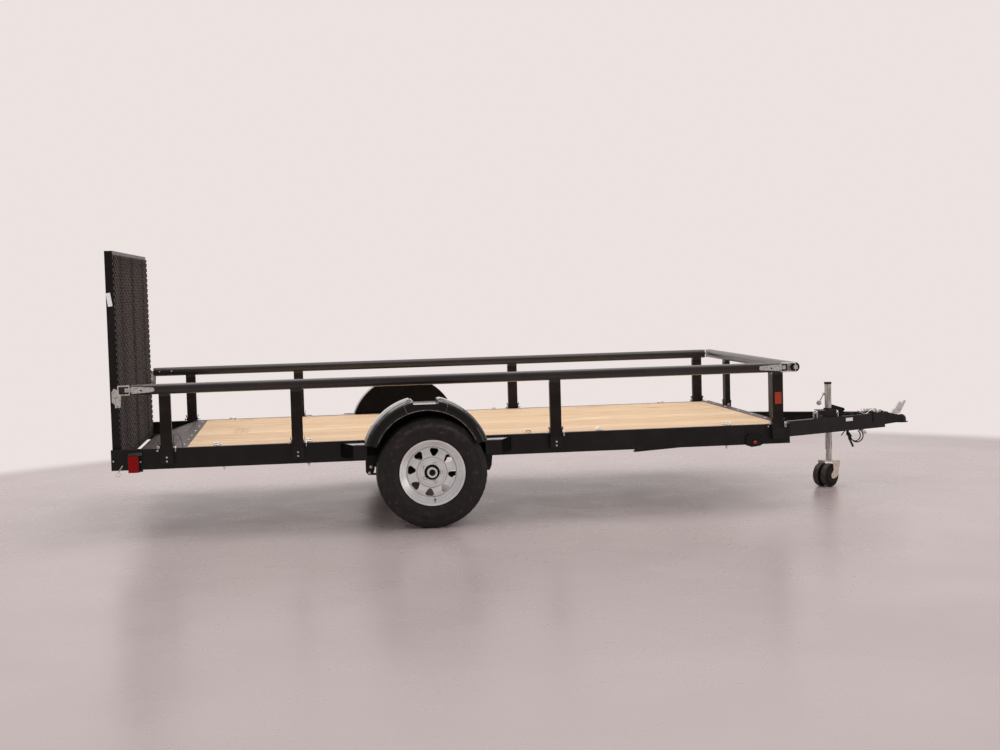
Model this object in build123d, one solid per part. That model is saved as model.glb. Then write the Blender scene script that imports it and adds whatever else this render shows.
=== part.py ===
from build123d import *
import math
import os

# Single-axle utility trailer with a timber deck, tube side rails and a mesh ramp gate.
# Millimetres. While it is built, x runs forward from the rear end of the side rails, y is to the
# left and z is up from the ground. The finished pieces are moved so that x = 0 is the middle of
# the trailer's whole length.

# ---- Driving dimensions: main frame ----
rail_length = 4302.0
frame_width = 1994.0
rail_height = 127.0
deck_height = 540.0
rail_web = 4.0
rail_flange = 38.0
steel_sheet = 4.0
fit_gap = 0.5
part_gap = 0.3
moving_gap = 5.0

# ---- Deck, header and dovetail plate ----
plank_thickness = 38.0
plank_count = 10
plank_gap = 3.0
header_flange = 62.0
header_bearing = 14.0
header_bite = 1.0
deck_rear_x = 459.0
dovetail_flat = 86.0
dovetail_rear_x = 68.0
dovetail_drop = 98.0
dovetail_sheet = 4.0
dovetail_rib_pitch = 24.0
dovetail_rib_height = 1.6
dovetail_rib_width = 7.0
dovetail_lip = 22.0
crossmember_width = 38.0
crossmember_sheet = 3.5
crossmember_count = 7
crossmember_notch = 10.0
last_member_setback = 560.0
rear_member_x = 176.0

# ---- Tongue and coupler ----
tongue_half_angle = 24.0
tongue_reach = 998.0
tongue_nose_half_width = 60.0
tongue_beam_height = 105.0
tongue_beam_flange = 42.0
tongue_beam_web = 4.5
tongue_top_drop = 44.0
coupler_ball_reach = 160.0
coupler_ball_drop = 54.0
ball_socket_radius = 25.8
coupler_wall = 8.0
coupler_lip_radius = 46.0
coupler_lip_height = 6.0
coupler_overlap = 90.0
coupler_plate = 5.0
lever_height = 92.0
lever_width = 24.0
neck_start = 18.0
chain_link_pitch = 27.0
chain_wire = 5.0
chain_width = 20.0

# ---- Side rails and posts ----
tube_diameter = 63.5
tube_wall = 3.0
tube_rise = 369.0
tube_rear_x = 70.0
tube_front_setback = 26.0
post_width = 70.0
post_depth = 38.0
post_wall = 3.0
rear_post_x = 340.0
second_post_x = 1138.0
third_post_x = 2762.0
front_post_setback = 89.0
front_post_inset = 429.0
pocket_sheet = 3.0
pocket_low_drop = 94.0
pocket_wall_drop = 20.0
pocket_top_rise = 40.0
pocket_flare = 7.0
cap_thickness = 5.0
stake_pin_diameter = 10.0
stake_pin_rise = 8.0
stake_pin_head = 17.0
stake_pin_tail = 20.0
clip_radius = 17.0

# ---- Ramp gate ----
gate_axis_x = 14.0
gate_axis_drop = 68.0
gate_side_gap = 52.0
gate_rear_x = 4.0
gate_depth = 48.0
gate_bottom_drop = 92.0
gate_top_z = 1762.0
gate_tube_width = 46.0
gate_tube_wall = 2.5
gate_rib_width = 34.0
gate_rib_depth = 30.0
gate_upright_count = 5
gate_mesh_thickness = 4.0
mesh_margin = 4.0
mesh_top_drop = 20.0
mesh_long_pitch = 150.0
mesh_short_pitch = 74.0
mesh_strand = 7.0
mesh_rim = 5.0
hinge_pin_diameter = 14.0
hinge_ear_thickness = 10.0
hinge_ear_radius = 13.5

# ---- Axle, springs and wheels ----
axle_x = 1956.0
axle_diameter = 60.0
axle_wall = 6.0
spindle_root = 60.0
tyre_diameter = 688.0
tyre_width = 205.0
tyre_crown_width = 164.0
tyre_bead_diameter = 382.0
tyre_wall = 13.0
rim_lip_diameter = 408.0
rim_width = 140.0
rim_sheet = 4.0
wheel_gap = 38.0
spindle_diameter = 34.0
spindle_clearance = 0.05
wheel_hole_count = 8
lug_count = 5
lug_circle = 114.3
spring_half_length = 370.0
spring_width = 45.0
spring_leaf = 8.0
spring_leaves = 4
spring_eye_drop = 8.0
spring_eye_radius = 16.0
spring_bolt_radius = 7.0
spring_inset = 32.0
clamp_half_length = 55.0
clamp_half_width = 45.0
clamp_plate = 8.0
clamp_rod = 6.0
hanger_sheet = 5.0

# ---- Fenders ----
fender_offset = -30.0
fender_rise = 70.0
fender_radius = 388.0
fender_lip_radius = 320.0
fender_overhang = 12.0
fender_round = 26.0
fender_sheet = 3.0
fender_step_drop = 30.0
fender_step_length = 158.0
ledge_drop = 9.0
ledge_depth = 88.0
ledge_width = 190.0
ledge_rear_reach = 554.0
ledge_front_reach = 522.0

# ---- Lamps ----
tail_lamp_x = 137.0
tail_lamp_size = (62.0, 42.0, 102.0)
tail_lamp_drop = 88.0
tail_lamp_hood_rise = 19.0
marker_lamp_setback = 238.0
marker_depth = 14.0
marker_lamp_drop = 104.0
marker_lamp_radius = 11.0
reflector_size = (44.0, 5.0, 76.0)
reflector_rise = 172.0

# ---- Wiring lead ----
lead_setback = 193.0
lead_diameter = 8.0
grommet_length = 8.0
plug_neck = 8.0
plug_length = 34.0
plug_width = 24.0
plug_thickness = 16.0

# ---- Jack ----
jack_setback = 440.0
jack_standoff = 60.0
jack_tube_diameter = 48.0
jack_tube_wall = 2.9
jack_tube_drop = 236.0
jack_rise = 242.0
jack_cap_height = 14.0
jack_inner_rise = 144.0
jack_slide_clearance = 0.1
caster_fork_z = 182.0
caster_angle = 35.0
caster_trail = 40.0
caster_wheel_radius = 82.0
caster_wheel_width = 50.0
caster_wheel_spacing = 66.0
caster_fork_sheet = 5.0
kingpin_diameter = 16.0
jack_box_rear = 92.0
jack_box_front = 33.0
jack_box_height = 48.0
crank_rise = 159.0
crank_length = 75.0
crank_droop = 55.0

# ---- Values worked out from the driving dimensions ----
half_frame = frame_width / 2
rail_low_z = deck_height - rail_height
flange_edge = half_frame - rail_flange
web_face = half_frame - rail_web
deck_under_z = deck_height - plank_thickness
tube_centre_z = deck_height + tube_rise
pocket_low_z = deck_height - pocket_low_drop
pocket_wall_z = deck_height - pocket_wall_drop
pocket_top_z = deck_height + pocket_top_rise
stake_pin_z = deck_height + stake_pin_rise
gate_axis_z = deck_height - gate_axis_drop
gate_bottom_z = deck_height - gate_bottom_drop
gate_half_width = half_frame - gate_side_gap
tongue_top_z = deck_height - tongue_top_drop
tongue_low_z = tongue_top_z - tongue_beam_height
jack_tube_low_z = tongue_top_z - jack_tube_drop
jack_top_z = tongue_top_z + jack_rise
jack_inner_top_z = tongue_top_z + jack_inner_rise
crank_z = tongue_top_z + crank_rise
tongue_nose_x = rail_length + tongue_reach
tongue_run = math.tan(math.radians(tongue_half_angle))
tongue_slant = math.cos(math.radians(tongue_half_angle))
coupler_ball_x = tongue_nose_x + coupler_ball_reach
coupler_ball_z = tongue_top_z - coupler_ball_drop
coupler_rear_x = tongue_nose_x - coupler_overlap
coupler_nose_x = coupler_ball_x + coupler_lip_radius
post_places = [rear_post_x, second_post_x, third_post_x, rail_length - front_post_setback]
post_y = half_frame + pocket_sheet + fit_gap + post_depth / 2
tube_front_x = rail_length - tube_front_setback
front_tube_x = rail_length + pocket_sheet + fit_gap + post_depth / 2
front_tube_half_length = post_y + tube_diameter / 2
front_post_y = half_frame - front_post_inset
axle_z = tyre_diameter / 2
wheel_y = half_frame + wheel_gap + tyre_width / 2
fender_x = axle_x + fender_offset
fender_centre_z = axle_z + fender_rise
fender_outer_y = wheel_y + tyre_width / 2 + fender_overhang
fender_step_z = fender_centre_z + fender_radius - fender_step_drop
ledge_z = deck_height - ledge_drop
ledge_outer_y = half_frame + ledge_width
spring_eye_z = axle_z - spring_eye_drop
tail_lamp_z = deck_height - tail_lamp_drop
marker_lamp_z = deck_height - marker_lamp_drop
reflector_z = deck_height + reflector_rise
ledge_rear_x = axle_x - ledge_rear_reach
ledge_front_x = axle_x + ledge_front_reach
marker_lamp_x = rail_length - marker_lamp_setback
jack_x = tongue_nose_x - jack_setback
jack_inset = jack_standoff - tongue_nose_half_width
jack_y = tongue_beam_flange / tongue_slant + jack_inset - jack_setback * tongue_run
x_shift = -coupler_nose_x / 2


def block(x0, x1, y0, y1, z0, z1):
    """A box between two corners."""
    middle = Pos((x0 + x1) / 2, (y0 + y1) / 2, (z0 + z1) / 2)
    return middle * Box(abs(x1 - x0), abs(y1 - y0), abs(z1 - z0))


def rod_x(radius, x0, x1, y, z):
    """A round bar along x."""
    return Pos((x0 + x1) / 2, y, z) * Rot(0, 90, 0) * Cylinder(radius, abs(x1 - x0))


def rod_y(radius, y0, y1, x, z):
    """A round bar along y."""
    return Pos(x, (y0 + y1) / 2, z) * Rot(90, 0, 0) * Cylinder(radius, abs(y1 - y0))


def rod_z(radius, z0, z1, x, y):
    """An upright round bar."""
    return Pos(x, y, (z0 + z1) / 2) * Cylinder(radius, abs(z1 - z0))


def side_plate(outline, y0, y1):
    """An outline of (x, z) points carried across from y0 to y1."""
    face = make_face(Polyline([(x, y0, z) for x, z in outline], close=True))
    return extrude(face, amount=y1 - y0, dir=(0, 1, 0))


def level_plate(outline, z0, z1):
    """An outline of (x, y) points carried up from z0 to z1."""
    face = make_face(Polyline([(x, y, z0) for x, y in outline], close=True))
    return extrude(face, amount=z1 - z0, dir=(0, 0, 1))


def cross_section(outline, x0, x1):
    """An outline of (y, z) points carried forward from x0 to x1."""
    face = make_face(Polyline([(x0, y, z) for y, z in outline], close=True))
    return extrude(face, amount=x1 - x0, dir=(1, 0, 0))


def left_of(shape):
    """The same piece on the left-hand side."""
    return mirror(shape, about=Plane.XZ)


def write(name, *solids):
    """One STEP file for one node, with every solid moved to the trailer's own origin."""
    moved = [Pos(x_shift, 0, 0) * solid for group in solids for solid in group.solids()]
    shape = moved[0] if len(moved) == 1 else Compound(children=moved)
    export_step(shape, f"parts/{name}.step")


os.makedirs("parts", exist_ok=True)


# ---- Side rails of the main frame: channels with their flanges inward ----
def frame_rail():
    channel = [
        (-half_frame, rail_low_z),
        (-flange_edge, rail_low_z),
        (-flange_edge, rail_low_z + rail_web),
        (-web_face, rail_low_z + rail_web),
        (-web_face, deck_height - rail_web),
        (-flange_edge, deck_height - rail_web),
        (-flange_edge, deck_height),
        (-half_frame, deck_height),
    ]
    rail = cross_section(channel, 0, rail_length)
    hole = rod_y(hinge_pin_diameter / 2, -half_frame - 1, -web_face + 1, gate_axis_x, gate_axis_z)
    return rail - hole


frame_rail_right = frame_rail()
write("frame_rail_right", frame_rail_right)
write("frame_rail_left", left_of(frame_rail_right))


# ---- Tongue: two channels that meet at the coupler ----
def tongue_face(x):
    """Distance of a tongue beam's outer face from the centre line."""
    return tongue_nose_half_width + (tongue_nose_x - x) * tongue_run


tongue_rear_x = tongue_nose_x - (flange_edge - tongue_nose_half_width) / tongue_run


def tongue_strip(near, far, z0, z1, x0, x1):
    """A slanting bar between two distances in from the beam's outer face."""
    outline = [
        (x0, -tongue_face(x0) + near / tongue_slant),
        (x1, -tongue_face(x1) + near / tongue_slant),
        (x1, -tongue_face(x1) + far / tongue_slant),
        (x0, -tongue_face(x0) + far / tongue_slant),
    ]
    return level_plate(outline, z0, z1)


def tongue_beam():
    x0 = tongue_rear_x - 2 * tongue_beam_flange
    x1 = tongue_nose_x + 60
    web = tongue_strip(0, tongue_beam_web, tongue_low_z, tongue_top_z, x0, x1)
    top = tongue_strip(0, tongue_beam_flange, tongue_top_z - tongue_beam_web, tongue_top_z, x0, x1)
    low = tongue_strip(0, tongue_beam_flange, tongue_low_z, tongue_low_z + tongue_beam_web, x0, x1)
    room = block(tongue_rear_x, tongue_nose_x + neck_start - fit_gap, -flange_edge, -5, 0, deck_height)
    return (web + top + low) & room


tongue_beam_right = tongue_beam()
write("tongue_beam_right", tongue_beam_right)
write("tongue_beam_left", left_of(tongue_beam_right))


# ---- Crossmembers: between the rails, cut where the tongue beams run through them ----
def crossmember(x):
    z0 = rail_low_z + rail_web
    z1 = deck_under_z
    t = crossmember_sheet
    channel = [
        (x, z0),
        (x + crossmember_width, z0),
        (x + crossmember_width, z0 + t),
        (x + t, z0 + t),
        (x + t, z1 - t),
        (x + crossmember_width, z1 - t),
        (x + crossmember_width, z1),
        (x, z1),
    ]
    member = side_plate(channel, -web_face, web_face)
    if x + crossmember_width > tongue_rear_x:
        for side in (-1, 1):
            x0 = x - crossmember_notch
            x1 = x + crossmember_width + crossmember_notch
            outline = [
                (x0, side * (tongue_face(x0) + fit_gap)),
                (x1, side * (tongue_face(x1) + fit_gap)),
                (x1, side * (tongue_face(x1) - tongue_beam_flange / tongue_slant - fit_gap)),
                (x0, side * (tongue_face(x0) - tongue_beam_flange / tongue_slant - fit_gap)),
            ]
            member = member - level_plate(outline, tongue_low_z - 5, deck_height)
    return member


first_member_x = deck_rear_x - crossmember_width / 2
last_member_x = rail_length - last_member_setback
tail_member_x = tongue_rear_x - crossmember_width
member_places = [
    first_member_x + (tail_member_x - first_member_x) * i / (crossmember_count - 2)
    for i in range(crossmember_count - 1)
]
member_places.append(last_member_x)
crossmembers = [crossmember(x) for x in member_places]
write("crossmembers", *crossmembers)


# ---- Header: the front channel, its flange laps the ends of the planks ----
header_low_z = tongue_top_z
header_top_z = deck_height + steel_sheet - header_bite


def header():
    x0 = rail_length - header_flange
    x1 = rail_length
    t = steel_sheet
    outline = [
        (x0, header_top_z - t),
        (x1 - t, header_top_z - t),
        (x1 - t, header_low_z + t),
        (x0, header_low_z + t),
        (x0, header_low_z),
        (x1, header_low_z),
        (x1, header_top_z),
        (x0, header_top_z),
    ]
    middle = side_plate(outline, -flange_edge + fit_gap, flange_edge - fit_gap)
    tabs = [(x0, deck_height), (x1, deck_height), (x1, header_top_z), (x0, header_top_z)]
    return middle + side_plate(tabs, -half_frame, half_frame)


front_header = header()
write("front_header", front_header)


# ---- Deck planks, laid lengthwise between the rail flanges ----
plank_front_x = rail_length - header_flange + header_bearing
plank_room = 2 * (flange_edge - fit_gap)
plank_width = (plank_room - plank_gap * (plank_count - 1)) / plank_count


def plank(index):
    """A plank whose front end is seated into its top face under the header's flange."""
    y0 = -flange_edge + fit_gap + index * (plank_width + plank_gap)
    board = block(deck_rear_x, plank_front_x, y0, y0 + plank_width, deck_under_z, deck_height)
    seat = block(rail_length - header_flange, plank_front_x + 1, y0, y0 + plank_width,
                 header_top_z - steel_sheet, deck_height)
    return board - seat


write("deck_planks", *[plank(i) for i in range(plank_count)])


# ---- Dovetail plate: ribbed sheet that falls from the deck to the rear edge ----
dovetail_fold_x = deck_rear_x - dovetail_flat
dovetail_low_z = deck_height - dovetail_drop


def dovetail_top(x):
    """Height of the dovetail's top face, flat and then falling to the rear."""
    if x >= dovetail_fold_x:
        return deck_height
    share = (dovetail_fold_x - x) / (dovetail_fold_x - dovetail_rear_x)
    return deck_height - dovetail_drop * share


def dovetail_plate():
    t = dovetail_sheet
    rear = dovetail_rear_x
    top = [(rear, dovetail_low_z)]
    rib_x = rear + dovetail_rib_pitch
    while rib_x < deck_rear_x - dovetail_rib_pitch / 2:
        half = dovetail_rib_width / 2
        if abs(rib_x - dovetail_fold_x) > dovetail_rib_width:
            top.append((rib_x - half, dovetail_top(rib_x - half)))
            top.append((rib_x - half / 2, dovetail_top(rib_x - half / 2) + dovetail_rib_height))
            top.append((rib_x + half / 2, dovetail_top(rib_x + half / 2) + dovetail_rib_height))
            top.append((rib_x + half, dovetail_top(rib_x + half)))
        else:
            top.append((dovetail_fold_x, deck_height))
        rib_x += dovetail_rib_pitch
    if (dovetail_fold_x, deck_height) not in top:
        top = sorted(top + [(dovetail_fold_x, deck_height)])
    under = [
        (deck_rear_x - fit_gap, deck_height),
        (deck_rear_x - fit_gap, deck_height - t),
        (dovetail_fold_x, deck_height - t),
        (rear + t, dovetail_top(rear + t) - t),
        (rear + t, dovetail_low_z - dovetail_lip),
        (rear, dovetail_low_z - dovetail_lip),
    ]
    wide = side_plate(top + under, -web_face, web_face)
    notch_x = dovetail_fold_x - 40
    for side in (-1, 1):
        wide = wide - block(notch_x, deck_rear_x, side * (flange_edge - fit_gap), side * half_frame,
                            0, gate_top_z)
    return wide


write("dovetail_plate", dovetail_plate())


# ---- Rear member: an upright channel under the fall of the dovetail plate ----
def rear_member():
    x0 = rear_member_x
    x1 = x0 + crossmember_width
    z0 = rail_low_z + rail_web
    t = crossmember_sheet
    rise = dovetail_sheet + 0.2
    outline = [
        (x0, z0),
        (x1, z0),
        (x1, z0 + t),
        (x0 + t, z0 + t),
        (x0 + t, dovetail_top(x0 + t) - rise),
        (x0, dovetail_top(x0) - rise),
    ]
    return side_plate(outline, -web_face, web_face)


write("rear_member", rear_member())


# ---- Side rails above the deck: a tube on four posts, each post stands in its pocket ----
stake_pin_bore = stake_pin_diameter / 2 + spindle_clearance


def tube_end_bore(x0, x1, y, z):
    return rod_x(tube_diameter / 2 - tube_wall, x0, x1, y, z)


def side_post(x):
    z0 = pocket_low_z + pocket_sheet
    low = block(x - post_width / 2, x + post_width / 2, -post_y - post_depth / 2,
                -post_y + post_depth / 2, z0, tube_centre_z)
    w = post_wall
    hollow = block(x - post_width / 2 + w, x + post_width / 2 - w, -post_y - post_depth / 2 + w,
                   -post_y + post_depth / 2 - w, z0, tube_centre_z)
    return low - hollow - rod_x(stake_pin_bore, x - post_width, x + post_width, -post_y, stake_pin_z)


def side_rail():
    tube = rod_x(tube_diameter / 2, tube_rear_x, tube_front_x, -post_y, tube_centre_z)
    posts = Part() + [side_post(x) for x in post_places]
    bore = tube_end_bore(tube_rear_x, tube_front_x, -post_y, tube_centre_z)
    return posts + tube - bore


side_rail_right = side_rail()
write("side_rail_right", side_rail_right)
write("side_rail_left", left_of(side_rail_right))


# ---- Front rail: the same tube across the front, on two posts ----
def front_post(y):
    z0 = pocket_low_z + pocket_sheet
    x = front_tube_x
    w = post_wall
    outer = block(x - post_depth / 2, x + post_depth / 2, y - post_width / 2, y + post_width / 2,
                  z0, tube_centre_z)
    hollow = block(x - post_depth / 2 + w, x + post_depth / 2 - w, y - post_width / 2 + w,
                   y + post_width / 2 - w, z0, tube_centre_z)
    return outer - hollow - rod_y(stake_pin_bore, y - post_width, y + post_width, x, stake_pin_z)


def front_rail():
    half = front_tube_half_length
    tube = rod_y(tube_diameter / 2, -half, half, front_tube_x, tube_centre_z)
    posts = Part() + [front_post(y) for y in (-front_post_y, front_post_y)]
    return posts + tube - rod_y(tube_diameter / 2 - tube_wall, -half, half, front_tube_x, tube_centre_z)


write("front_rail", front_rail())


# ---- End caps pressed into the tubes ----
def tube_caps():
    radius = tube_diameter / 2 - tube_wall
    caps = []
    for side in (-1, 1):
        y = side * post_y
        caps.append(rod_x(radius, tube_rear_x, tube_rear_x + cap_thickness, y, tube_centre_z))
        caps.append(rod_x(radius, tube_front_x - cap_thickness, tube_front_x, y, tube_centre_z))
        half = side * front_tube_half_length
        caps.append(rod_y(radius, half - side * cap_thickness, half, front_tube_x, tube_centre_z))
    return caps


write("tube_caps", *tube_caps())


# ---- Stake pockets: open-topped boxes bolted to the frame, their side walls flare at the top ----
def pocket():
    """A pocket at the origin, its back on x-z and its outside towards -y."""
    s = pocket_sheet
    half = post_width / 2 + fit_gap
    depth = post_depth + 2 * fit_gap
    back = block(-half - s, half + s, -s, 0, pocket_low_z, deck_height - 8)
    front = block(-half - s, half + s, -2 * s - depth, -s - depth, pocket_low_z, pocket_wall_z)
    floor = block(-half - s, half + s, -2 * s - depth, 0, pocket_low_z, pocket_low_z + s)
    bend_z = pocket_top_z - 24
    walls = Part()
    for side in (-1, 1):
        outline = [
            (side * half, pocket_low_z),
            (side * (half + s), pocket_low_z),
            (side * (half + s), bend_z),
            (side * (half + s + pocket_flare), pocket_top_z - 8),
            (side * (half + s + pocket_flare), pocket_top_z),
            (side * (half + pocket_flare), pocket_top_z),
            (side * (half + pocket_flare), pocket_top_z - 8),
            (side * half, bend_z),
        ]
        walls = walls + side_plate(outline, -2 * s - depth, 0)
    pin = rod_x(stake_pin_bore, -post_width, post_width, -s - depth / 2, stake_pin_z)
    return back + front + floor + walls - pin


def stake_pin():
    """A pin across a pocket at the origin, with a ring clip through its end."""
    y = -pocket_sheet - fit_gap - post_depth / 2
    half = post_width / 2 + fit_gap + pocket_sheet
    tail = half + stake_pin_tail
    pin = rod_x(stake_pin_diameter / 2, -half - part_gap - stake_pin_head, tail, y, stake_pin_z)
    head = rod_x(stake_pin_diameter, -half - part_gap - stake_pin_head, -half - part_gap - 10, y, stake_pin_z)
    ring_z = stake_pin_z - clip_radius + 3
    ring = rod_x(clip_radius, tail - 8, tail - 4, y, ring_z)
    ring = ring - rod_x(clip_radius - 4, tail - 9, tail - 3, y, ring_z)
    return pin + head + ring


def at_posts(base):
    """Copies of a piece drawn at the origin, one for each post of the side rails and the front rail."""
    copies = [Pos(x, -half_frame, 0) * base for x in post_places]
    copies = copies + [left_of(c) for c in copies]
    across = Rot(0, 0, 90) * base
    return copies + [Pos(rail_length, y, 0) * across for y in (-front_post_y, front_post_y)]


write("stake_pockets", *at_posts(pocket()))
write("rail_pins", *at_posts(stake_pin()))


# ---- Ramp gate ----
gate_front_x = gate_rear_x + gate_depth
gate_inner_y = gate_half_width - gate_tube_width
mesh_x = gate_front_x


def gate_bar(y0, y1, z0, z1, inset=0.0, open_low=0.0):
    """One bar of the gate, or its hollow when inset is the wall."""
    return block(gate_rear_x + inset, gate_front_x - inset, y0 + inset, y1 - inset,
                 z0 + inset - open_low, z1 - inset)


def gate_frame():
    y = gate_half_width
    w = gate_tube_width
    wall = gate_tube_wall
    outer = gate_bar(-y, y, gate_bottom_z, gate_bottom_z + w) + gate_bar(-y, y, gate_top_z - w, gate_top_z)
    inner = gate_bar(-y, y, gate_bottom_z, gate_bottom_z + w, wall)
    inner = inner + gate_bar(-y, y, gate_top_z - w, gate_top_z, wall)
    for side in (-1, 1):
        y0 = min(side * y, side * (y - w))
        outer = outer + gate_bar(y0, y0 + w, gate_bottom_z, gate_top_z)
        inner = inner + gate_bar(y0, y0 + w, gate_bottom_z, gate_top_z, wall, wall + 1)
    frame = outer - inner
    step = 2 * gate_inner_y / (gate_upright_count - 1)
    half = gate_rib_width / 2
    for i in range(1, gate_upright_count - 1):
        middle = -gate_inner_y + i * step
        low = gate_bottom_z + w
        high = gate_top_z - w
        back = gate_front_x - gate_rib_depth
        rib = block(back, gate_front_x, middle - half, middle + half, low, high)
        rib = rib - block(back - 1, gate_front_x - wall, middle - half + wall, middle + half - wall,
                          low, high)
        frame = frame + rib
    for side in (-1, 1):
        y0 = side * y
        y1 = side * (y - hinge_ear_thickness)
        ear = rod_y(hinge_ear_radius, y0, y1, gate_axis_x, gate_axis_z)
        bore = hinge_pin_diameter / 2 + spindle_clearance
        frame = frame + ear - rod_y(bore, y0 + side, y1 - side, gate_axis_x, gate_axis_z)
    return frame


write("gate_frame", gate_frame())


def gate_mesh():
    """Expanded sheet: diamonds in rows that are set off by half, cut at the sheet's rim."""
    half = gate_half_width - mesh_margin
    low = gate_bottom_z + mesh_margin
    high = gate_top_z - mesh_top_drop
    columns = round(2 * half / mesh_long_pitch)
    rows = round((high - low) / mesh_short_pitch)
    a = half / columns
    b = (high - low) / rows / 2
    shrink = 1 - mesh_strand / 2 * math.hypot(a, b) / (a * b)
    holes = []
    for i in range(2 * columns + 1):
        for j in range(i % 2, 2 * rows + 1, 2):
            middle_y = -half + i * a
            middle_z = low + j * b
            corners = []
            for y, z in ((a, 0), (0, b), (-a, 0), (0, -b)):
                hole_y = max(-half + mesh_rim, min(half - mesh_rim, middle_y + shrink * y))
                hole_z = max(low + mesh_rim, min(high - mesh_rim, middle_z + shrink * z))
                if (mesh_x, hole_y, hole_z) not in corners:
                    corners.append((mesh_x, hole_y, hole_z))
            holes.append(Wire.make_polygon(corners))
    rim = Wire.make_polygon([
        (mesh_x, -half, low), (mesh_x, half, low), (mesh_x, half, high), (mesh_x, -half, high),
    ])
    return extrude(Face(rim, holes), amount=gate_mesh_thickness, dir=(1, 0, 0))


write("gate_mesh", gate_mesh())


def hinge_pin():
    head = rod_y(13, -half_frame - 9, -half_frame, gate_axis_x, gate_axis_z)
    shank = rod_y(hinge_pin_diameter / 2, -half_frame, -gate_half_width + hinge_ear_thickness + 6,
                  gate_axis_x, gate_axis_z)
    collar = rod_y(12, -web_face, -gate_half_width - 5, gate_axis_x, gate_axis_z)
    return head + shank + collar


write("hinge_pins", hinge_pin(), left_of(hinge_pin()))


# ---- Draw latches: base and handle on the side tube, bail and keeper on what they hold ----
latch_y = -post_y - tube_diameter / 2
latch_handle_length = 133.0
latch_handle_height = 44.0
latch_base_length = 84.0
latch_hook_reach = 38.0
bail_wire = 3.5
rear_latch_setback = 74.0
front_latch_setback = 52.0
bail_half_height = 27.0
bail_length = 67.0
keeper_height = 120.0
keeper_drop = 46.0
keeper_sheet = 4.0
keeper_inset = 24.0
keeper_reach = 54.0


def latch_body(x, way):
    """Base plate, pivot block and folded handle; way is +1 when the handle points forward."""
    z = tube_centre_z
    wide = latch_handle_height / 2
    base = block(x - way * latch_hook_reach, x + way * latch_base_length, latch_y - 3, latch_y + 4,
                 z - 12, z + 12)
    ears = block(x, x + way * 34, latch_y - 20, latch_y - 3, z - 13, z + 13)
    handle = side_plate([
        (x + way * 4, z - wide), (x + way * latch_handle_length, z - 13),
        (x + way * (latch_handle_length + 8), z - 6), (x + way * (latch_handle_length + 8), z + 6),
        (x + way * latch_handle_length, z + 13), (x + way * 4, z + wide),
    ], latch_y - 24, latch_y - 19)
    tube = rod_x(tube_diameter / 2, x - 200, x + 200, -post_y, tube_centre_z)
    return base + ears + handle - tube


rear_latch_x = tube_rear_x + rear_latch_setback
front_latch_x = tube_front_x - front_latch_setback
latches = [latch_body(rear_latch_x, 1), latch_body(front_latch_x, -1)]
write("draw_latches", *latches, *[left_of(l) for l in latches])


def bail(x0, x1):
    """A wire loop beside the tube, from its pivot at x0 round the keeper at x1."""
    wire = bail_wire
    y = latch_y - 14
    loop = Part()
    low = tube_centre_z - bail_half_height
    high = tube_centre_z + bail_half_height
    for z in (low, high):
        loop = loop + rod_x(wire, x0, x1, y, z)
    loop = loop + rod_z(wire, low, high, x1, y)
    loop = loop + rod_z(wire, low, high, x0, y)
    return loop


rear_bail_front_x = rear_latch_x - bail_wire - moving_gap - 1
rear_bail_x = rear_bail_front_x - bail_length


def rear_keeper():
    """A folded bracket on the side of the gate; its outer plate passes the tube's end."""
    x0 = gate_rear_x + keeper_inset
    x1 = x0 + keeper_reach
    arm_x = gate_rear_x + gate_depth
    inner_y = -gate_half_width
    outer_y = latch_y - moving_gap
    low = tube_centre_z - keeper_drop - keeper_height / 2
    high = low + keeper_height
    keeper = block(x0, arm_x, inner_y - keeper_sheet, inner_y, low + 36, high - 24)
    for z in (low + 36, high - 24 - keeper_sheet):
        keeper = keeper + block(x0, arm_x, inner_y, outer_y, z, z + keeper_sheet)
    plate = side_plate([
        (x0, low + 36), (x0 + 17, low + 20), (x0 + 18, low), (x1 - 4, low + 4), (x1, low + 70),
        (x0 + 34, high - 9), (x0 + 14, high), (x0, high - 24),
    ], outer_y - keeper_sheet, outer_y)
    nub = block(rear_bail_x - 12, rear_bail_x + 5, outer_y - 12, outer_y - keeper_sheet,
                tube_centre_z - 24, tube_centre_z + 4)
    return keeper + plate + nub


rear_catch = rear_keeper() + bail(rear_bail_front_x, rear_bail_x)
write("gate_catches", rear_catch, left_of(rear_catch))


def front_catch():
    """Bail of a front latch and the keeper on the front tube."""
    x = front_tube_x
    keeper = block(x - 12, x + 12, -front_tube_half_length - 2, -front_tube_half_length - 22,
                   tube_centre_z - 12, tube_centre_z + 12)
    foot = block(x - 12, x + 12, -front_tube_half_length - 2, -front_tube_half_length,
                 tube_centre_z - 12, tube_centre_z + 12)
    return keeper + foot + bail(front_latch_x + bail_wire + part_gap, x)


write("front_catches", front_catch(), left_of(front_catch()))


# ---- Axle tube with its spindles ----
hub_inner_y = wheel_y - 42.0


def axle():
    end = hub_inner_y - 8
    tube = rod_y(axle_diameter / 2, -end, end, axle_x, axle_z)
    tube = tube - rod_y(axle_diameter / 2 - axle_wall, -end + spindle_root, end - spindle_root,
                        axle_x, axle_z)
    for side in (-1, 1):
        tube = tube + rod_y(spindle_diameter / 2, side * (end - 2), side * (wheel_y + 30), axle_x, axle_z)
    return tube


write("axle", axle())


# ---- Wheels: rim pressed and welded, hub with its studs and cap, tyre ----
def turned(profile, y, x=axle_x, z=axle_z):
    """A profile of (y, r) corners turned about the wheel's axis."""
    face = make_face(Polyline([(x, y + a, z + r) for a, r in profile], close=True))
    return revolve(face, axis=Axis((x, 0, z), (0, 1, 0)))


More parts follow.
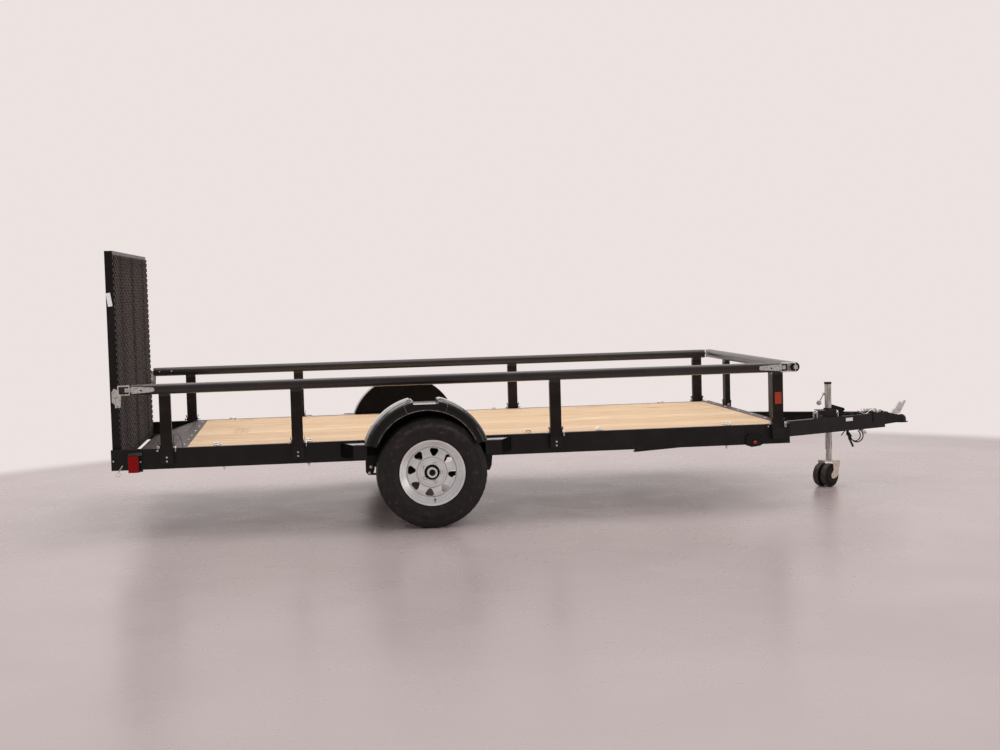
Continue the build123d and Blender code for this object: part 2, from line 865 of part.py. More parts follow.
def tyre(y):
    radius = tyre_diameter / 2
    bead = tyre_bead_diameter / 2
    crown = tyre_crown_width / 2
    half = tyre_width / 2
    widest = (radius + bead) / 2 - 8
    shoulder = radius - 5

    def at(a, r):
        return (axle_x, y + a, axle_z + r)

    seat_y = rim_width / 2 - 8
    lip_y = rim_width / 2 + 10
    lip_r = rim_lip_diameter / 2 + 5
    inner_crown = crown - tyre_wall
    inner_shoulder = shoulder - tyre_wall
    outline = [ThreePointArc(at(-crown, shoulder), at(0, radius), at(crown, shoulder))]
    for side in (1, -1):
        outline = outline + [
            TangentArc(at(side * half, widest), at(side * crown, shoulder), tangent=(0, 0, 1)),
            TangentArc(at(side * half, widest), at(side * lip_y, lip_r), tangent=(0, 0, -1)),
            Line(at(side * lip_y, lip_r), at(side * (seat_y + 7), lip_r - 3)),
            Line(at(side * (seat_y + 7), lip_r - 3), at(side * seat_y, bead)),
            Line(at(side * seat_y, bead), at(side * (seat_y - tyre_wall), bead)),
            ThreePointArc(at(side * (seat_y - tyre_wall), bead), at(side * (half - tyre_wall), widest),
                          at(side * inner_crown, inner_shoulder)),
        ]
    outline.append(Line(at(-inner_crown, inner_shoulder), at(inner_crown, inner_shoulder)))
    return revolve(make_face(outline), axis=Axis((axle_x, 0, axle_z), (0, 1, 0)))


disc_face = 30.0
disc_centre = 40.0
disc_bore_radius = 48.0
hub_cap_radius = 31.0


def rim(y, out):
    """out is +1 where the outside of the wheel faces +y."""
    lip = rim_lip_diameter / 2
    seat = tyre_bead_diameter / 2 - part_gap
    half = rim_width / 2
    well = seat - 26
    t = rim_sheet
    outer = [
        (-half - 8, lip), (-half - 3, lip), (-half + 4, seat), (-half + 34, seat), (-half + 46, well),
        (half - 56, well), (half - 44, seat), (half - 4, seat), (half + 3, lip), (half + 8, lip),
    ]
    inner = [
        (half + 8, lip - t), (half + 4, lip - t), (half - 2, seat - t), (half - 42, seat - t),
        (half - 54, well - t), (-half + 44, well - t), (-half + 32, seat - t), (-half + 2, seat - t),
        (-half - 4, lip - t), (-half - 8, lip - t),
    ]
    barrel = turned([(out * a, r) for a, r in outer + inner], y)
    dish = [
        (-2, well - 1), (14, well - 1), (disc_face - 8, well - 12), (disc_face, 128), (disc_face + 2, 98),
        (disc_centre, 90), (disc_centre, disc_bore_radius), (disc_centre - t, disc_bore_radius),
        (disc_centre - t, 88), (disc_face - 2, 96), (disc_face - t, 128), (disc_face - 8 - t, well - 14),
        (10, well - 1 - t), (-2, well - 1 - t),
    ]
    disc = turned([(out * a, r) for a, r in dish], y)
    for i in range(wheel_hole_count):
        disc = disc - Pos(axle_x, 0, axle_z) * Rot(0, i * 360 / wheel_hole_count + 7.5, 0) * window(y, out)
    for i in range(lug_count):
        turn = math.radians(i * 360 / lug_count + 18)
        disc = disc - rod_y(7, y, y + out * 60, axle_x + lug_circle / 2 * math.sin(turn),
                            axle_z + lug_circle / 2 * math.cos(turn))
    return barrel + disc


def window(y, out):
    """A wheel hole with its flat side outward and its narrow end towards the hub."""
    corners = [(-38, 149), (38, 149), (0, 88)]
    depth = 24.0
    face = make_face(Polyline([(a, y + out * (disc_face - depth / 2), r) for a, r in corners], close=True))
    hole = extrude(face, amount=depth, dir=(0, out, 0))
    return fillet(hole.edges().filter_by(Axis.Y), 14)


def hub(y, out):
    s = spindle_diameter / 2 + spindle_clearance
    flange_face = disc_centre - rim_sheet
    cap = hub_cap_radius
    profile = [
        (-42, s), (-42, 44), (-30, 44), (flange_face - 10, 56), (flange_face - 10, 72), (flange_face, 72),
        (flange_face, disc_bore_radius), (flange_face - 18, disc_bore_radius), (flange_face - 18, cap),
        (flange_face + 32, cap), (flange_face + 34, cap - 2), (flange_face + 34, cap - 8),
        (flange_face + 26, cap - 9), (flange_face + 26, 0), (34, 0), (34, s),
    ]
    body = turned([(out * a, r) for a, r in profile], y)
    for i in range(lug_count):
        turn = math.radians(i * 360 / lug_count + 18)
        x = axle_x + lug_circle / 2 * math.sin(turn)
        z = axle_z + lug_circle / 2 * math.cos(turn)
        body = body + rod_y(6.5, y + out * (flange_face - 2), y + out * (disc_centre + 4), x, z)
        body = body + rod_y(10, y + out * disc_centre, y + out * (disc_centre + 16), x, z)
    return body


for name, side in (("right", -1), ("left", 1)):
    write(f"tyre_{name}", tyre(side * wheel_y))
    write(f"rim_{name}", rim(side * wheel_y, side))
    write(f"hub_{name}", hub(side * wheel_y, side))


# ---- Leaf springs under the axle, in hangers below the side rails ----
spring_y = half_frame - spring_inset
spring_top_z = axle_z - axle_diameter / 2


def leaf_spring():
    """Leaves in an arc through both eyes, the lower ones shorter."""
    half = spring_half_length
    eye_low = spring_eye_z - spring_eye_radius
    sag = eye_low - (spring_top_z - spring_leaf)
    radius = (half * half + sag * sag) / (2 * sag)
    spring = Part()
    for i in range(spring_leaves):
        reach = half * (1 - 0.2 * i)
        low = spring_top_z - spring_leaf * (i + 1)
        centre_z = low + radius
        outer = rod_y(radius, -spring_y - spring_width / 2, -spring_y + spring_width / 2, axle_x, centre_z)
        inner = rod_y(radius - spring_leaf, -spring_y - spring_width / 2, -spring_y + spring_width / 2,
                      axle_x, centre_z)
        cut = block(axle_x - reach, axle_x + reach, -spring_y - spring_width, -spring_y + spring_width,
                    0, spring_eye_z)
        spring = spring + ((outer - inner) & cut)
    for side in (-1, 1):
        eye = rod_y(spring_eye_radius, -spring_y - spring_width / 2, -spring_y + spring_width / 2,
                    axle_x + side * half, spring_eye_z)
        bore = rod_y(spring_bolt_radius + spindle_clearance, -spring_y - spring_width,
                     -spring_y + spring_width, axle_x + side * half, spring_eye_z)
        spring = spring + eye - bore
    return spring


def spring_hanger(x):
    """A folded bracket under the rail, with the eye's bolt across it."""
    half = spring_width / 2 + fit_gap
    hanger = block(x - 30, x + 30, -spring_y - half - hanger_sheet, -spring_y + half + hanger_sheet,
                   rail_low_z - hanger_sheet, rail_low_z)
    for side in (-1, 1):
        y0 = -spring_y + side * half
        y1 = y0 + side * hanger_sheet
        r = spring_eye_radius
        cheek = side_plate([
            (x - 30, rail_low_z), (x + 30, rail_low_z), (x + 24, spring_eye_z + r),
            (x + 10, spring_eye_z - r), (x - 14, spring_eye_z - r), (x - 30, spring_eye_z),
        ], y0, y1)
        hanger = hanger + cheek
        hanger = hanger + rod_y(spring_bolt_radius, y1, y1 + side * 8, x + 8, spring_eye_z + 38)
    end = half + hanger_sheet + 8
    return hanger + rod_y(spring_bolt_radius, -spring_y - end, -spring_y + end, x, spring_eye_z)


springs = leaf_spring()
write("leaf_springs", springs, left_of(springs))
hangers = [spring_hanger(axle_x + side * spring_half_length) for side in (-1, 1)]
write("spring_hangers", *hangers, *[left_of(h) for h in hangers])


def axle_clamp():
    """Tie plate under the leaves and two U-bolts over the axle tube."""
    low = spring_top_z - spring_leaf * spring_leaves
    clamp = block(axle_x - clamp_half_length, axle_x + clamp_half_length, -spring_y - clamp_half_width,
                  -spring_y + clamp_half_width, low - clamp_plate - part_gap, low - part_gap)
    bend = axle_diameter / 2 + fit_gap
    for side in (-1, 1):
        y = -spring_y + side * (spring_width / 2 + clamp_rod + 1)
        for way in (-1, 1):
            x = axle_x + way * (bend + clamp_rod)
            clamp = clamp + rod_z(clamp_rod, low - 3 * clamp_plate, axle_z, x, y)
        ring = rod_y(bend + 2 * clamp_rod, y - clamp_rod, y + clamp_rod, axle_x, axle_z)
        ring = ring - rod_y(bend, y - 2 * clamp_rod, y + 2 * clamp_rod, axle_x, axle_z)
        upper = block(axle_x - axle_diameter, axle_x + axle_diameter, y - clamp_rod, y + clamp_rod,
                      axle_z, axle_z + axle_diameter)
        clamp = clamp + (ring & upper)
    return clamp


write("axle_clamps", axle_clamp(), left_of(axle_clamp()))


# ---- Fenders: pressed arches with a flat step on top and a ledge at each end ----
def fender_drum(radius, inset):
    """A drum about the wheel with its outer edge rounded, drawn in by inset all round."""
    outer_y = -fender_outer_y + inset
    inner_y = -half_frame - inset
    r = radius - inset
    bend = fender_round - inset
    short = bend * (1 - math.cos(math.radians(45)))

    def at(y, reach):
        return (fender_x, y, fender_centre_z + reach)

    outline = [
        Line(at(inner_y, 0), at(inner_y, r)),
        Line(at(inner_y, r), at(outer_y + bend, r)),
        ThreePointArc(at(outer_y + bend, r), at(outer_y + short, r - short), at(outer_y, r - bend)),
        Line(at(outer_y, r - bend), at(outer_y, 0)),
        Line(at(outer_y, 0), at(inner_y, 0)),
    ]
    return revolve(make_face(outline), axis=Axis((fender_x, 0, fender_centre_z), (0, 1, 0)))


def fender_mass(radius, inset):
    """The fender's outer form: the drum above the ledges, with the flat step cut in its top."""
    y0 = -fender_outer_y
    low = ledge_z - fender_sheet - inset
    drum = fender_drum(radius, inset)
    drum = drum & block(fender_x - radius, fender_x + radius, y0, -half_frame, low, fender_centre_z + radius)
    step = block(fender_x - fender_step_length / 2 + inset, fender_x + fender_step_length / 2 - inset,
                 y0 - 1, -half_frame + 1, fender_step_z - inset, fender_centre_z + radius + 1)
    return drum - step


def ledge_outline(inset):
    outer = -ledge_outer_y + inset
    inner = -half_frame
    return [
        (ledge_rear_x + inset, inner), (ledge_rear_x + 74 + inset, outer),
        (ledge_front_x - 84 - inset, outer), (ledge_front_x - inset, inner),
    ]


def fender():
    """Arch and ledges as one sheet, open below, with a wall of each ledge facing the wheel."""
    s = fender_sheet
    ledge_low_z = ledge_z - ledge_depth
    run = math.sqrt((fender_radius - s) ** 2 - (ledge_z - fender_centre_z) ** 2)
    liner = block(fender_x - run - s, fender_x + run + s, -half_frame - s, -half_frame, ledge_low_z, ledge_z)
    outer = fender_mass(fender_radius, 0) + level_plate(ledge_outline(0), ledge_low_z, ledge_z)
    hollow = level_plate(ledge_outline(s), ledge_low_z - 1, ledge_z - s)
    hollow = hollow - block(fender_x - run - s, fender_x + run + s, -ledge_outer_y, -half_frame,
                            ledge_low_z - 1, ledge_z)
    wheel_room = block(fender_x - run, fender_x + run, -fender_outer_y - 1, -half_frame - s,
                       ledge_low_z - 1, ledge_z - s)
    opening = rod_y(fender_lip_radius, -fender_outer_y - 1, -ledge_outer_y, fender_x, fender_centre_z)
    return (outer - fender_mass(fender_radius, s) - hollow - wheel_room - opening) + liner


fender_right = fender()
write("fender_right", fender_right)
write("fender_left", left_of(fender_right))


# ---- Tail lamps on their brackets ----
def tail_lamp():
    length, depth, height = tail_lamp_size
    y1 = -half_frame - steel_sheet
    body = block(tail_lamp_x - length / 2, tail_lamp_x + length / 2, y1 - depth, y1,
                 tail_lamp_z - height / 2, tail_lamp_z + height / 2)
    return fillet(body.edges().filter_by(Axis.Y), 5)


def tail_lamp_bracket():
    """Back plate on the rail, a hood that slopes down over the lamp and a gusset beside it."""
    length, depth, height = tail_lamp_size
    x0 = tail_lamp_x - length / 2
    x1 = tail_lamp_x + length / 2
    top = tail_lamp_z + height / 2 + part_gap
    low = top - height
    high = top + tail_lamp_hood_rise
    outer_y = -half_frame - steel_sheet - depth
    back = block(x0, x1 + 22, -half_frame - steel_sheet, -half_frame, low, high + 4)
    hood = cross_section([(outer_y, top), (-half_frame, high), (-half_frame, high + 4), (outer_y, top + 4)],
                         x0, x1 + 22)
    gusset = cross_section([(outer_y, low), (-half_frame, low), (-half_frame, high), (outer_y, top)],
                           x1 + part_gap, x1 + 4)
    return back + hood + gusset


write("tail_lamps", tail_lamp(), left_of(tail_lamp()))
write("lamp_brackets", tail_lamp_bracket(), left_of(tail_lamp_bracket()))


# ---- Side marker lamps near the front and reflectors on the front posts ----
def marker_bracket():
    y0 = -half_frame - marker_depth
    corners = [(-57, 33), (-32, 46), (34, 44), (56, 30), (56, -19), (34, -32), (-22, -38), (-57, -26)]
    outline = [(marker_lamp_x + across, marker_lamp_z + up) for across, up in corners]
    plate = side_plate(outline, y0, -half_frame)
    return plate - rod_y(marker_lamp_radius, y0 - 1, y0 + marker_depth / 2, marker_lamp_x, marker_lamp_z - 6)


def marker_lamp():
    y0 = -half_frame - marker_depth
    return rod_y(marker_lamp_radius, y0 - 6, y0 + marker_depth / 2, marker_lamp_x, marker_lamp_z - 6)


write("marker_brackets", marker_bracket(), left_of(marker_bracket()))
write("marker_lamps", marker_lamp(), left_of(marker_lamp()))


def reflector():
    length, depth, height = reflector_size
    y1 = -post_y - post_depth / 2
    x = post_places[-1]
    plate = block(x - length / 2, x + length / 2, y1 - depth, y1, reflector_z - height / 2,
                  reflector_z + height / 2)
    return fillet(plate.edges().filter_by(Axis.Y), 4)


write("reflectors", reflector(), left_of(reflector()))


# ---- Coupler: a plate over the beams, a hollow neck and a ball socket with a flared lip ----
def coupler():
    top = tongue_top_z
    rear_half = tongue_face(coupler_rear_x)
    nose_half = tongue_face(tongue_nose_x + 20)
    p = coupler_plate
    cover = level_plate([
        (coupler_rear_x, -rear_half - p), (tongue_nose_x + 40, -nose_half - p),
        (tongue_nose_x + 40, nose_half + p), (coupler_rear_x, rear_half + p),
    ], top, top + p)
    for side in (-1, 1):
        cheek = level_plate([
            (coupler_rear_x, side * rear_half), (tongue_nose_x + 20, side * nose_half),
            (tongue_nose_x + 20, side * (nose_half + p)), (coupler_rear_x, side * (rear_half + p)),
        ], top - 62, top + 1)
        cover = cover + cheek
    radius = ball_socket_radius + coupler_wall
    crown = Pos(coupler_ball_x, 0, coupler_ball_z) * Sphere(radius)
    skirt = rod_z(radius, coupler_ball_z - 24, coupler_ball_z, coupler_ball_x, 0)
    lip = rod_z(coupler_lip_radius, coupler_ball_z - 24, coupler_ball_z - 24 + coupler_lip_height,
                coupler_ball_x, 0)
    neck_rear = Plane(origin=(tongue_nose_x + neck_start, 0, 0), x_dir=(0, 1, 0), z_dir=(1, 0, 0))
    neck_front = Plane(origin=(coupler_ball_x, 0, 0), x_dir=(0, 1, 0), z_dir=(1, 0, 0))
    rear_face = neck_rear * Pos(0, top - 40) * Rectangle(2 * nose_half, 90)
    front_face = neck_front * Pos(0, coupler_ball_z + 4) * Rectangle(2 * radius - 12, 44)
    neck = loft([rear_face, front_face])
    inner_rear = neck_rear * Pos(0, top - 50) * Rectangle(2 * nose_half - 16, 94)
    neck_end = Plane(origin=(coupler_ball_x - radius - 1, 0, 0), x_dir=(0, 1, 0), z_dir=(1, 0, 0))
    inner_front = neck_end * Pos(0, coupler_ball_z - 6) * Rectangle(2 * radius - 30, 40)
    body = cover + crown + skirt + lip + neck - loft([inner_rear, inner_front])
    body = body - Pos(coupler_ball_x, 0, coupler_ball_z) * Sphere(ball_socket_radius)
    body = body - rod_z(ball_socket_radius, coupler_ball_z - 60, coupler_ball_z, coupler_ball_x, 0)
    return body


write("coupler", coupler())


def coupler_lever():
    """The two-pronged latch lever stands up and forward from the top of the neck."""
    x = coupler_ball_x - 48
    z = coupler_ball_z + 44
    top = z + lever_height
    outline = [
        (x - 26, z), (x + 16, z - 8), (x + 36, z), (x + 81, top - 6), (x + 68, top), (x + 52, top - 26),
        (x + 36, top - 8), (x + 30, top - 14), (x + 4, z + 36), (x - 18, z + 20),
    ]
    return side_plate(outline, -lever_width / 2, lever_width / 2)


write("coupler_lever", coupler_lever())


# ---- Safety chains: from a bolt on the coupler's plate, over its rear edge and down to a hook ----
def chain_link(start, direction, roll):
    """A flat ring of bar, its length along direction and turned about it by roll."""
    place = Plane(origin=start, x_dir=direction, z_dir=direction.cross(Vector(0, 1, 0)))
    half = chain_link_pitch / 2 + chain_wire
    inner = half - chain_wire - 0.4
    wide = chain_width / 2
    corner = wide / 2
    rim = Polyline((-half, -corner), (-half + corner, -wide), (half - corner, -wide), (half, -corner),
                   (half, corner), (half - corner, wide), (-half + corner, wide), (-half, corner), close=True)
    slot = Rectangle(2 * inner, 2 * (wide - chain_wire))
    ring = extrude(make_face(rim) - slot, amount=chain_wire / 2, both=True)
    return place * Rot(roll, 0, 0) * ring


def safety_chain(side, reach):
    """Links lie on the coupler's plate, drop behind it and end in a hook below the beams."""
    top = tongue_top_z + coupler_plate
    lying_z = top + chain_width / 2
    bolt_x = tongue_nose_x - 12
    start_y = side * (tongue_nose_half_width - 12)
    edge_x = coupler_rear_x - chain_width - reach
    drop_y = side * (tongue_face(edge_x) - tongue_beam_flange / tongue_slant - chain_width)
    corners = [
        Vector(bolt_x, start_y, lying_z),
        Vector(edge_x, drop_y, lying_z),
        Vector(edge_x - 12, drop_y, tongue_low_z + 12),
    ]
    chain = rod_z(5, top, lying_z + 8, bolt_x - chain_link_pitch / 2, start_y)
    roll = 45
    for i in range(len(corners) - 1):
        run = corners[i + 1] - corners[i]
        way = run.normalized()
        count = math.ceil(run.length / chain_link_pitch)
        for k in range(count):
            chain = chain + chain_link(corners[i] + way * chain_link_pitch * (k + 0.5), way, roll)
            roll = -roll
    low_x = edge_x - 12
    low_z = corners[-1].Z - 16
    hook = side_plate([(low_x - 8, low_z + 12), (low_x + 4, low_z + 12), (low_x + 4, low_z - 24),
                       (low_x + 14, low_z - 32), (low_x + 22, low_z - 24), (low_x + 30, low_z - 24),
                       (low_x + 22, low_z - 42), (low_x + 4, low_z - 42), (low_x - 8, low_z - 26)],
                      drop_y - 4, drop_y + 4)
    return chain + hook


write("safety_chains", safety_chain(-1, 30), safety_chain(1, 0))


# ---- Wiring lead: out of the right-hand beam's foot, in a loop to its plug on a clip ----
lead_exit_x = tongue_nose_x - lead_setback
lead_y = -tongue_face(lead_exit_x) + tongue_beam_flange / 2
lead_exit_z = tongue_low_z - grommet_length
lead_route = [
    (lead_exit_x, lead_y, lead_exit_z),
    (lead_exit_x + 15, lead_y, lead_exit_z - 18),
    (lead_exit_x + 19, lead_y, lead_exit_z - 44),
    (lead_exit_x + 7, lead_y, lead_exit_z - 69),
    (lead_exit_x - 15, lead_y, lead_exit_z - 83),
    (lead_exit_x - 41, lead_y, lead_exit_z - 83),
    (lead_exit_x - 62, lead_y, lead_exit_z - 71),
    (lead_exit_x - 73, lead_y, lead_exit_z - 53),
]


def lead_path():
    """Straight runs joined by arcs as large as their runs allow."""
    points = [Vector(*p) for p in lead_route]
    runs = [b - a for a, b in zip(points, points[1:])]
    radii = []
    for a, b in zip(runs, runs[1:]):
        half_turn = math.radians(a.get_angle(b) / 2)
        radii.append(0.45 * min(a.length, b.length) / math.tan(half_turn))
    print("lead radii", [round(r, 1) for r in radii])
    return FilletPolyline(*lead_route, radius=radii)


def wiring_cable():
    path = lead_path()
    section = Plane(origin=path @ 0, z_dir=path % 0) * Circle(lead_diameter / 2)
    cable = sweep(section, path=path)
    print("lead length", round(path.length, 1), "tube volume", round(cable.volume, 1),
          "section times length", round(math.pi * (lead_diameter / 2) ** 2 * path.length, 1))
    return cable


write("wiring_cable", wiring_cable())


def plug_place():
    """Where the lead ends, with z along the plug and x across the trailer."""
    end = Vector(*lead_route[-1])
    way = (end - Vector(*lead_route[-2])).normalized()
    return Plane(origin=end, z_dir=way, x_dir=(0, 1, 0))


def wiring_plug():
    """A flat plug in line with the lead's end."""
    neck = plug_place() * Pos(0, 0, plug_neck / 2) * Cylinder(lead_diameter * 0.75, plug_neck)
    flat = Pos(0, 0, plug_neck + plug_length / 2) * Box(plug_thickness, plug_width, plug_length)
    return neck + plug_place() * flat


write("wiring_plug", wiring_plug())


def lead_grommet():
    """The grommet in the beam's foot, in line with the lead's first run."""
    start = Vector(*lead_route[0])
    way = (start - Vector(*lead_route[1])).normalized()
    sleeve = Pos(0, 0, grommet_length) * Cylinder(lead_diameter, 2 * grommet_length)
    sleeve = Plane(origin=start, z_dir=way) * sleeve
    reach = 3 * grommet_length
    return sleeve & block(start.X - reach, start.X + reach, start.Y - reach, start.Y + reach, 0, tongue_low_z)


def lead_clip():
    """A strip under the beam that holds the plug by its side."""
    nose = plug_place() * Pos(0, 0, plug_neck + plug_length)
    x = nose.position.X
    side_y = lead_y + plug_thickness / 2
    strip = block(x - 9, x + 11, side_y, side_y + 2, nose.position.Z - 16, tongue_low_z)
    return strip + block(x - 9, x + 11, side_y - 12, side_y + 2, tongue_low_z - 2, tongue_low_z)


write("lead_fittings", lead_grommet(), lead_clip())


# ---- Jack: clamped inside the right-hand tongue beam ----
jack_radius = jack_tube_diameter / 2
jack_bore = jack_radius - jack_tube_wall
jack_inner_radius = jack_bore - jack_slide_clearance


def jack_outer():
    tube = rod_z(jack_radius, jack_tube_low_z, jack_top_z - jack_cap_height, jack_x, jack_y)
    return tube - rod_z(jack_bore, jack_tube_low_z, jack_top_z - jack_cap_height, jack_x, jack_y)


write("jack_outer_tube", jack_outer())
write("jack_cap", rod_z(jack_radius + 2, jack_top_z - jack_cap_height, jack_top_z, jack_x, jack_y))


def jack_clamp():
    """Two rounded ears behind the beam's top flange, each with a strap into the box."""
    z0 = tongue_top_z
    ears = []
    for x, box_x in ((jack_x - jack_box_rear - 35, jack_x - jack_box_rear + 14),
                     (jack_x + jack_box_front + 12, jack_x + jack_box_front - 14)):
        face_y = -tongue_face(x + 16) + tongue_beam_flange / tongue_slant
        ear = block(x - 16, x + 16, face_y, face_y + 12, z0 - 40, z0 + 20)
        ear = ear + rod_y(16, face_y, face_y + 12, x, z0 + 20)
        ears.append(ear + block(min(x, box_x), max(x, box_x), face_y + 4, face_y + 12, z0 + 4, z0 + 20))
    return ears


def jack_bracket():
    """Box across the beam's top flange and a collar round the tube."""
    beam_y = -tongue_face(jack_x)
    z0 = tongue_top_z
    top = z0 + jack_box_height
    box = block(jack_x - jack_box_rear, jack_x + jack_box_front, beam_y + 28, jack_y + 34, z0, top)
    collar = rod_z(jack_radius + 9, top, top + 10, jack_x, jack_y)
    return box + collar - rod_z(jack_radius, z0 - 60, z0 + 60, jack_x, jack_y) - jack_clamp()


write("jack_clamp", *jack_clamp())
write("jack_bracket", jack_bracket())


def jack_handle():
    """The black grip of the swivel's pull pin, from the tube down along the bracket's front."""
    tube = jack_x + jack_radius + part_gap
    box = jack_x + jack_box_front + part_gap
    low = tongue_top_z + 1
    top = tongue_top_z + jack_box_height + 10 + part_gap
    outline = [(tube, top + 24), (box + 80, top - 4), (box + 88, top - 16), (box + 54, low), (box, low),
               (box, top), (tube, top)]
    grip = side_plate(outline, jack_y - 6, jack_y + 6)
    return grip + rod_y(7, jack_y - 11, jack_y + 11, box + 76, top - 12)


write("jack_handle", jack_handle())


def bar(start, end, radius):
    """A round bar between two points."""
    length = (Vector(*end) - Vector(*start)).length
    place = Plane(origin=start, z_dir=Vector(*end) - Vector(*start))
    return place * Pos(0, 0, length / 2) * Cylinder(radius, length)


def jack_crank():
    """A side crank: its boss on the tube, the arm and the round knob at the arm's end."""
    boss_x = jack_x - jack_radius
    knob_x = boss_x - crank_length * math.cos(math.radians(crank_droop))
    knob_z = crank_z - crank_length * math.sin(math.radians(crank_droop))
    boss = rod_x(9, boss_x - 14, boss_x, jack_y, crank_z)
    arm = bar((boss_x - 8, jack_y, crank_z), (knob_x, jack_y, knob_z), 5)
    knob = rod_y(17, jack_y - 14, jack_y + 14, knob_x, knob_z)
    knob = fillet(knob.edges(), 8)
    return boss + arm + knob


write("jack_crank", jack_crank())


def jack_inner():
    tube = rod_z(jack_inner_radius, caster_fork_z, jack_inner_top_z, jack_x, jack_y)
    tube = tube - rod_z(jack_inner_radius - 3, caster_fork_z + 26, jack_inner_top_z, jack_x, jack_y)
    bore_radius = kingpin_diameter / 2 + spindle_clearance
    return tube - rod_z(bore_radius, caster_fork_z, caster_fork_z + 26, jack_x, jack_y)


write("jack_inner_tube", jack_inner())

caster_place = Pos(jack_x, jack_y, 0) * Rot(0, 0, caster_angle)
caster_half = caster_wheel_spacing / 2 + caster_wheel_width / 2 + 4
caster_axle_z = caster_wheel_radius


def caster_fork():
    s = caster_fork_sheet
    z1 = caster_fork_z - part_gap
    plate = block(-36, 40, -caster_half - s, caster_half + s, z1 - s, z1)
    fork = plate + rod_z(kingpin_diameter / 2, z1 - s, caster_fork_z + 22, 0, 0)
    for side in (-1, 1):
        leg = side_plate([
            (-36, z1), (38, z1), (41, z1 - 18), (14, caster_axle_z - 4),
            (-caster_trail + 32, caster_axle_z - 17),
            (-caster_trail + 10, caster_axle_z - 22), (-caster_trail - 12, caster_axle_z - 21),
            (-caster_trail - 22, caster_axle_z - 8), (-caster_trail - 20, caster_axle_z + 10),
            (-caster_trail - 4, caster_axle_z + 24), (-34, z1 - 60), (-38, z1 - 34),
        ], side * caster_half, side * (caster_half + s))
        fork = fork + leg
    fork = fork + rod_y(6, -caster_half - s, caster_half + s, -caster_trail, caster_axle_z)
    return caster_place * fork


write("caster_fork", caster_fork())


def caster_wheel(side):
    y = side * caster_wheel_spacing / 2
    half = caster_wheel_width / 2
    r = caster_wheel_radius
    face = make_face(Polyline([
        (-caster_trail, y + a, caster_axle_z + b) for a, b in [
            (-half, 6.05), (-half, r - 26), (-half + 7, r - 20), (-half, r - 14), (-half + 5, r - 3),
            (-half + 12, r), (half - 12, r), (half - 5, r - 3), (half, r - 14), (half - 7, r - 20),
            (half, r - 26), (half, 6.05),
        ]], close=True))
    wheel = revolve(face, axis=Axis((-caster_trail, 0, caster_axle_z), (0, 1, 0)))
    return caster_place * wheel


write("caster_wheels", caster_wheel(-1), caster_wheel(1))


# ---- Tie-down rings along both edges of the deck ----
tie_down_places = [deck_rear_x + 184, deck_rear_x + 744, third_post_x - 162, rail_length - 402]


def tie_down(x):
    y = -flange_edge + rail_flange / 2 + 26
    plate = block(x - 26, x + 26, y - 14, y + 14, deck_height, deck_height + 3)
    staple = block(x - 16, x - 9, y - 5, y + 5, deck_height, deck_height + 14)
    staple = staple + block(x + 9, x + 16, y - 5, y + 5, deck_height, deck_height + 14)
    staple = staple + block(x - 16, x + 16, y - 5, y + 5, deck_height + 9, deck_height + 16)
    return plate + staple


ties = [tie_down(x) for x in tie_down_places]
write("tie_downs", *ties, *[left_of(t) for t in ties])

print("length", coupler_nose_x, "width", 2 * fender_outer_y, "height", gate_top_z)
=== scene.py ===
import math

import bmesh
import bpy
import numpy as np
from mathutils import Matrix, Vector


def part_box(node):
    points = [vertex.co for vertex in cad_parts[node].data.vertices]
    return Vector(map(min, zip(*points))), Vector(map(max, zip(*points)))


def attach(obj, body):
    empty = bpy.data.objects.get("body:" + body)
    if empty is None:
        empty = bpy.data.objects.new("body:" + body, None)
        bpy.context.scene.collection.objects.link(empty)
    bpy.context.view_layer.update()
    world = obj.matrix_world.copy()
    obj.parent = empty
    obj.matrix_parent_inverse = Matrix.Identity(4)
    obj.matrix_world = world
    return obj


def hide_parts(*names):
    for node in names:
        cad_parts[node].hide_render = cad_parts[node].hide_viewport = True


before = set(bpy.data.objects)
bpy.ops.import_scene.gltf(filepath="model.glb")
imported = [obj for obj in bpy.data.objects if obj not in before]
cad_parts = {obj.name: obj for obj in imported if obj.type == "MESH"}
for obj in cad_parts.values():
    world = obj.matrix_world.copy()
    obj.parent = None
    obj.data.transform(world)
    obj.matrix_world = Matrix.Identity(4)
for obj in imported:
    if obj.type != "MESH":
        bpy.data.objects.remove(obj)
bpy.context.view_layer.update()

# ---- Camera ----
# It stands at eye height some 10 m out from the right-hand side, a little behind the middle of
# the trailer, turned slightly forward and down.
camera_place = (-1.5063, -10.4031, 1.4943)
camera_turn = -0.1239
camera_tilt = -0.0605
camera_lean = -0.0275

camera_data = bpy.data.cameras.new("camera")
camera_data.sensor_width = 36.0
camera_data.lens = 54.13
camera = bpy.data.objects.new("camera", camera_data)
bpy.context.collection.objects.link(camera)
camera.matrix_world = (
    Matrix.Translation(camera_place)
    @ Matrix.Rotation(camera_turn, 4, "Z")
    @ Matrix.Rotation(math.pi / 2 + camera_tilt, 4, "X")
    @ Matrix.Rotation(camera_lean, 4, "Z")
)
bpy.context.scene.camera = camera
bpy.context.scene.view_settings.view_transform = "Standard"


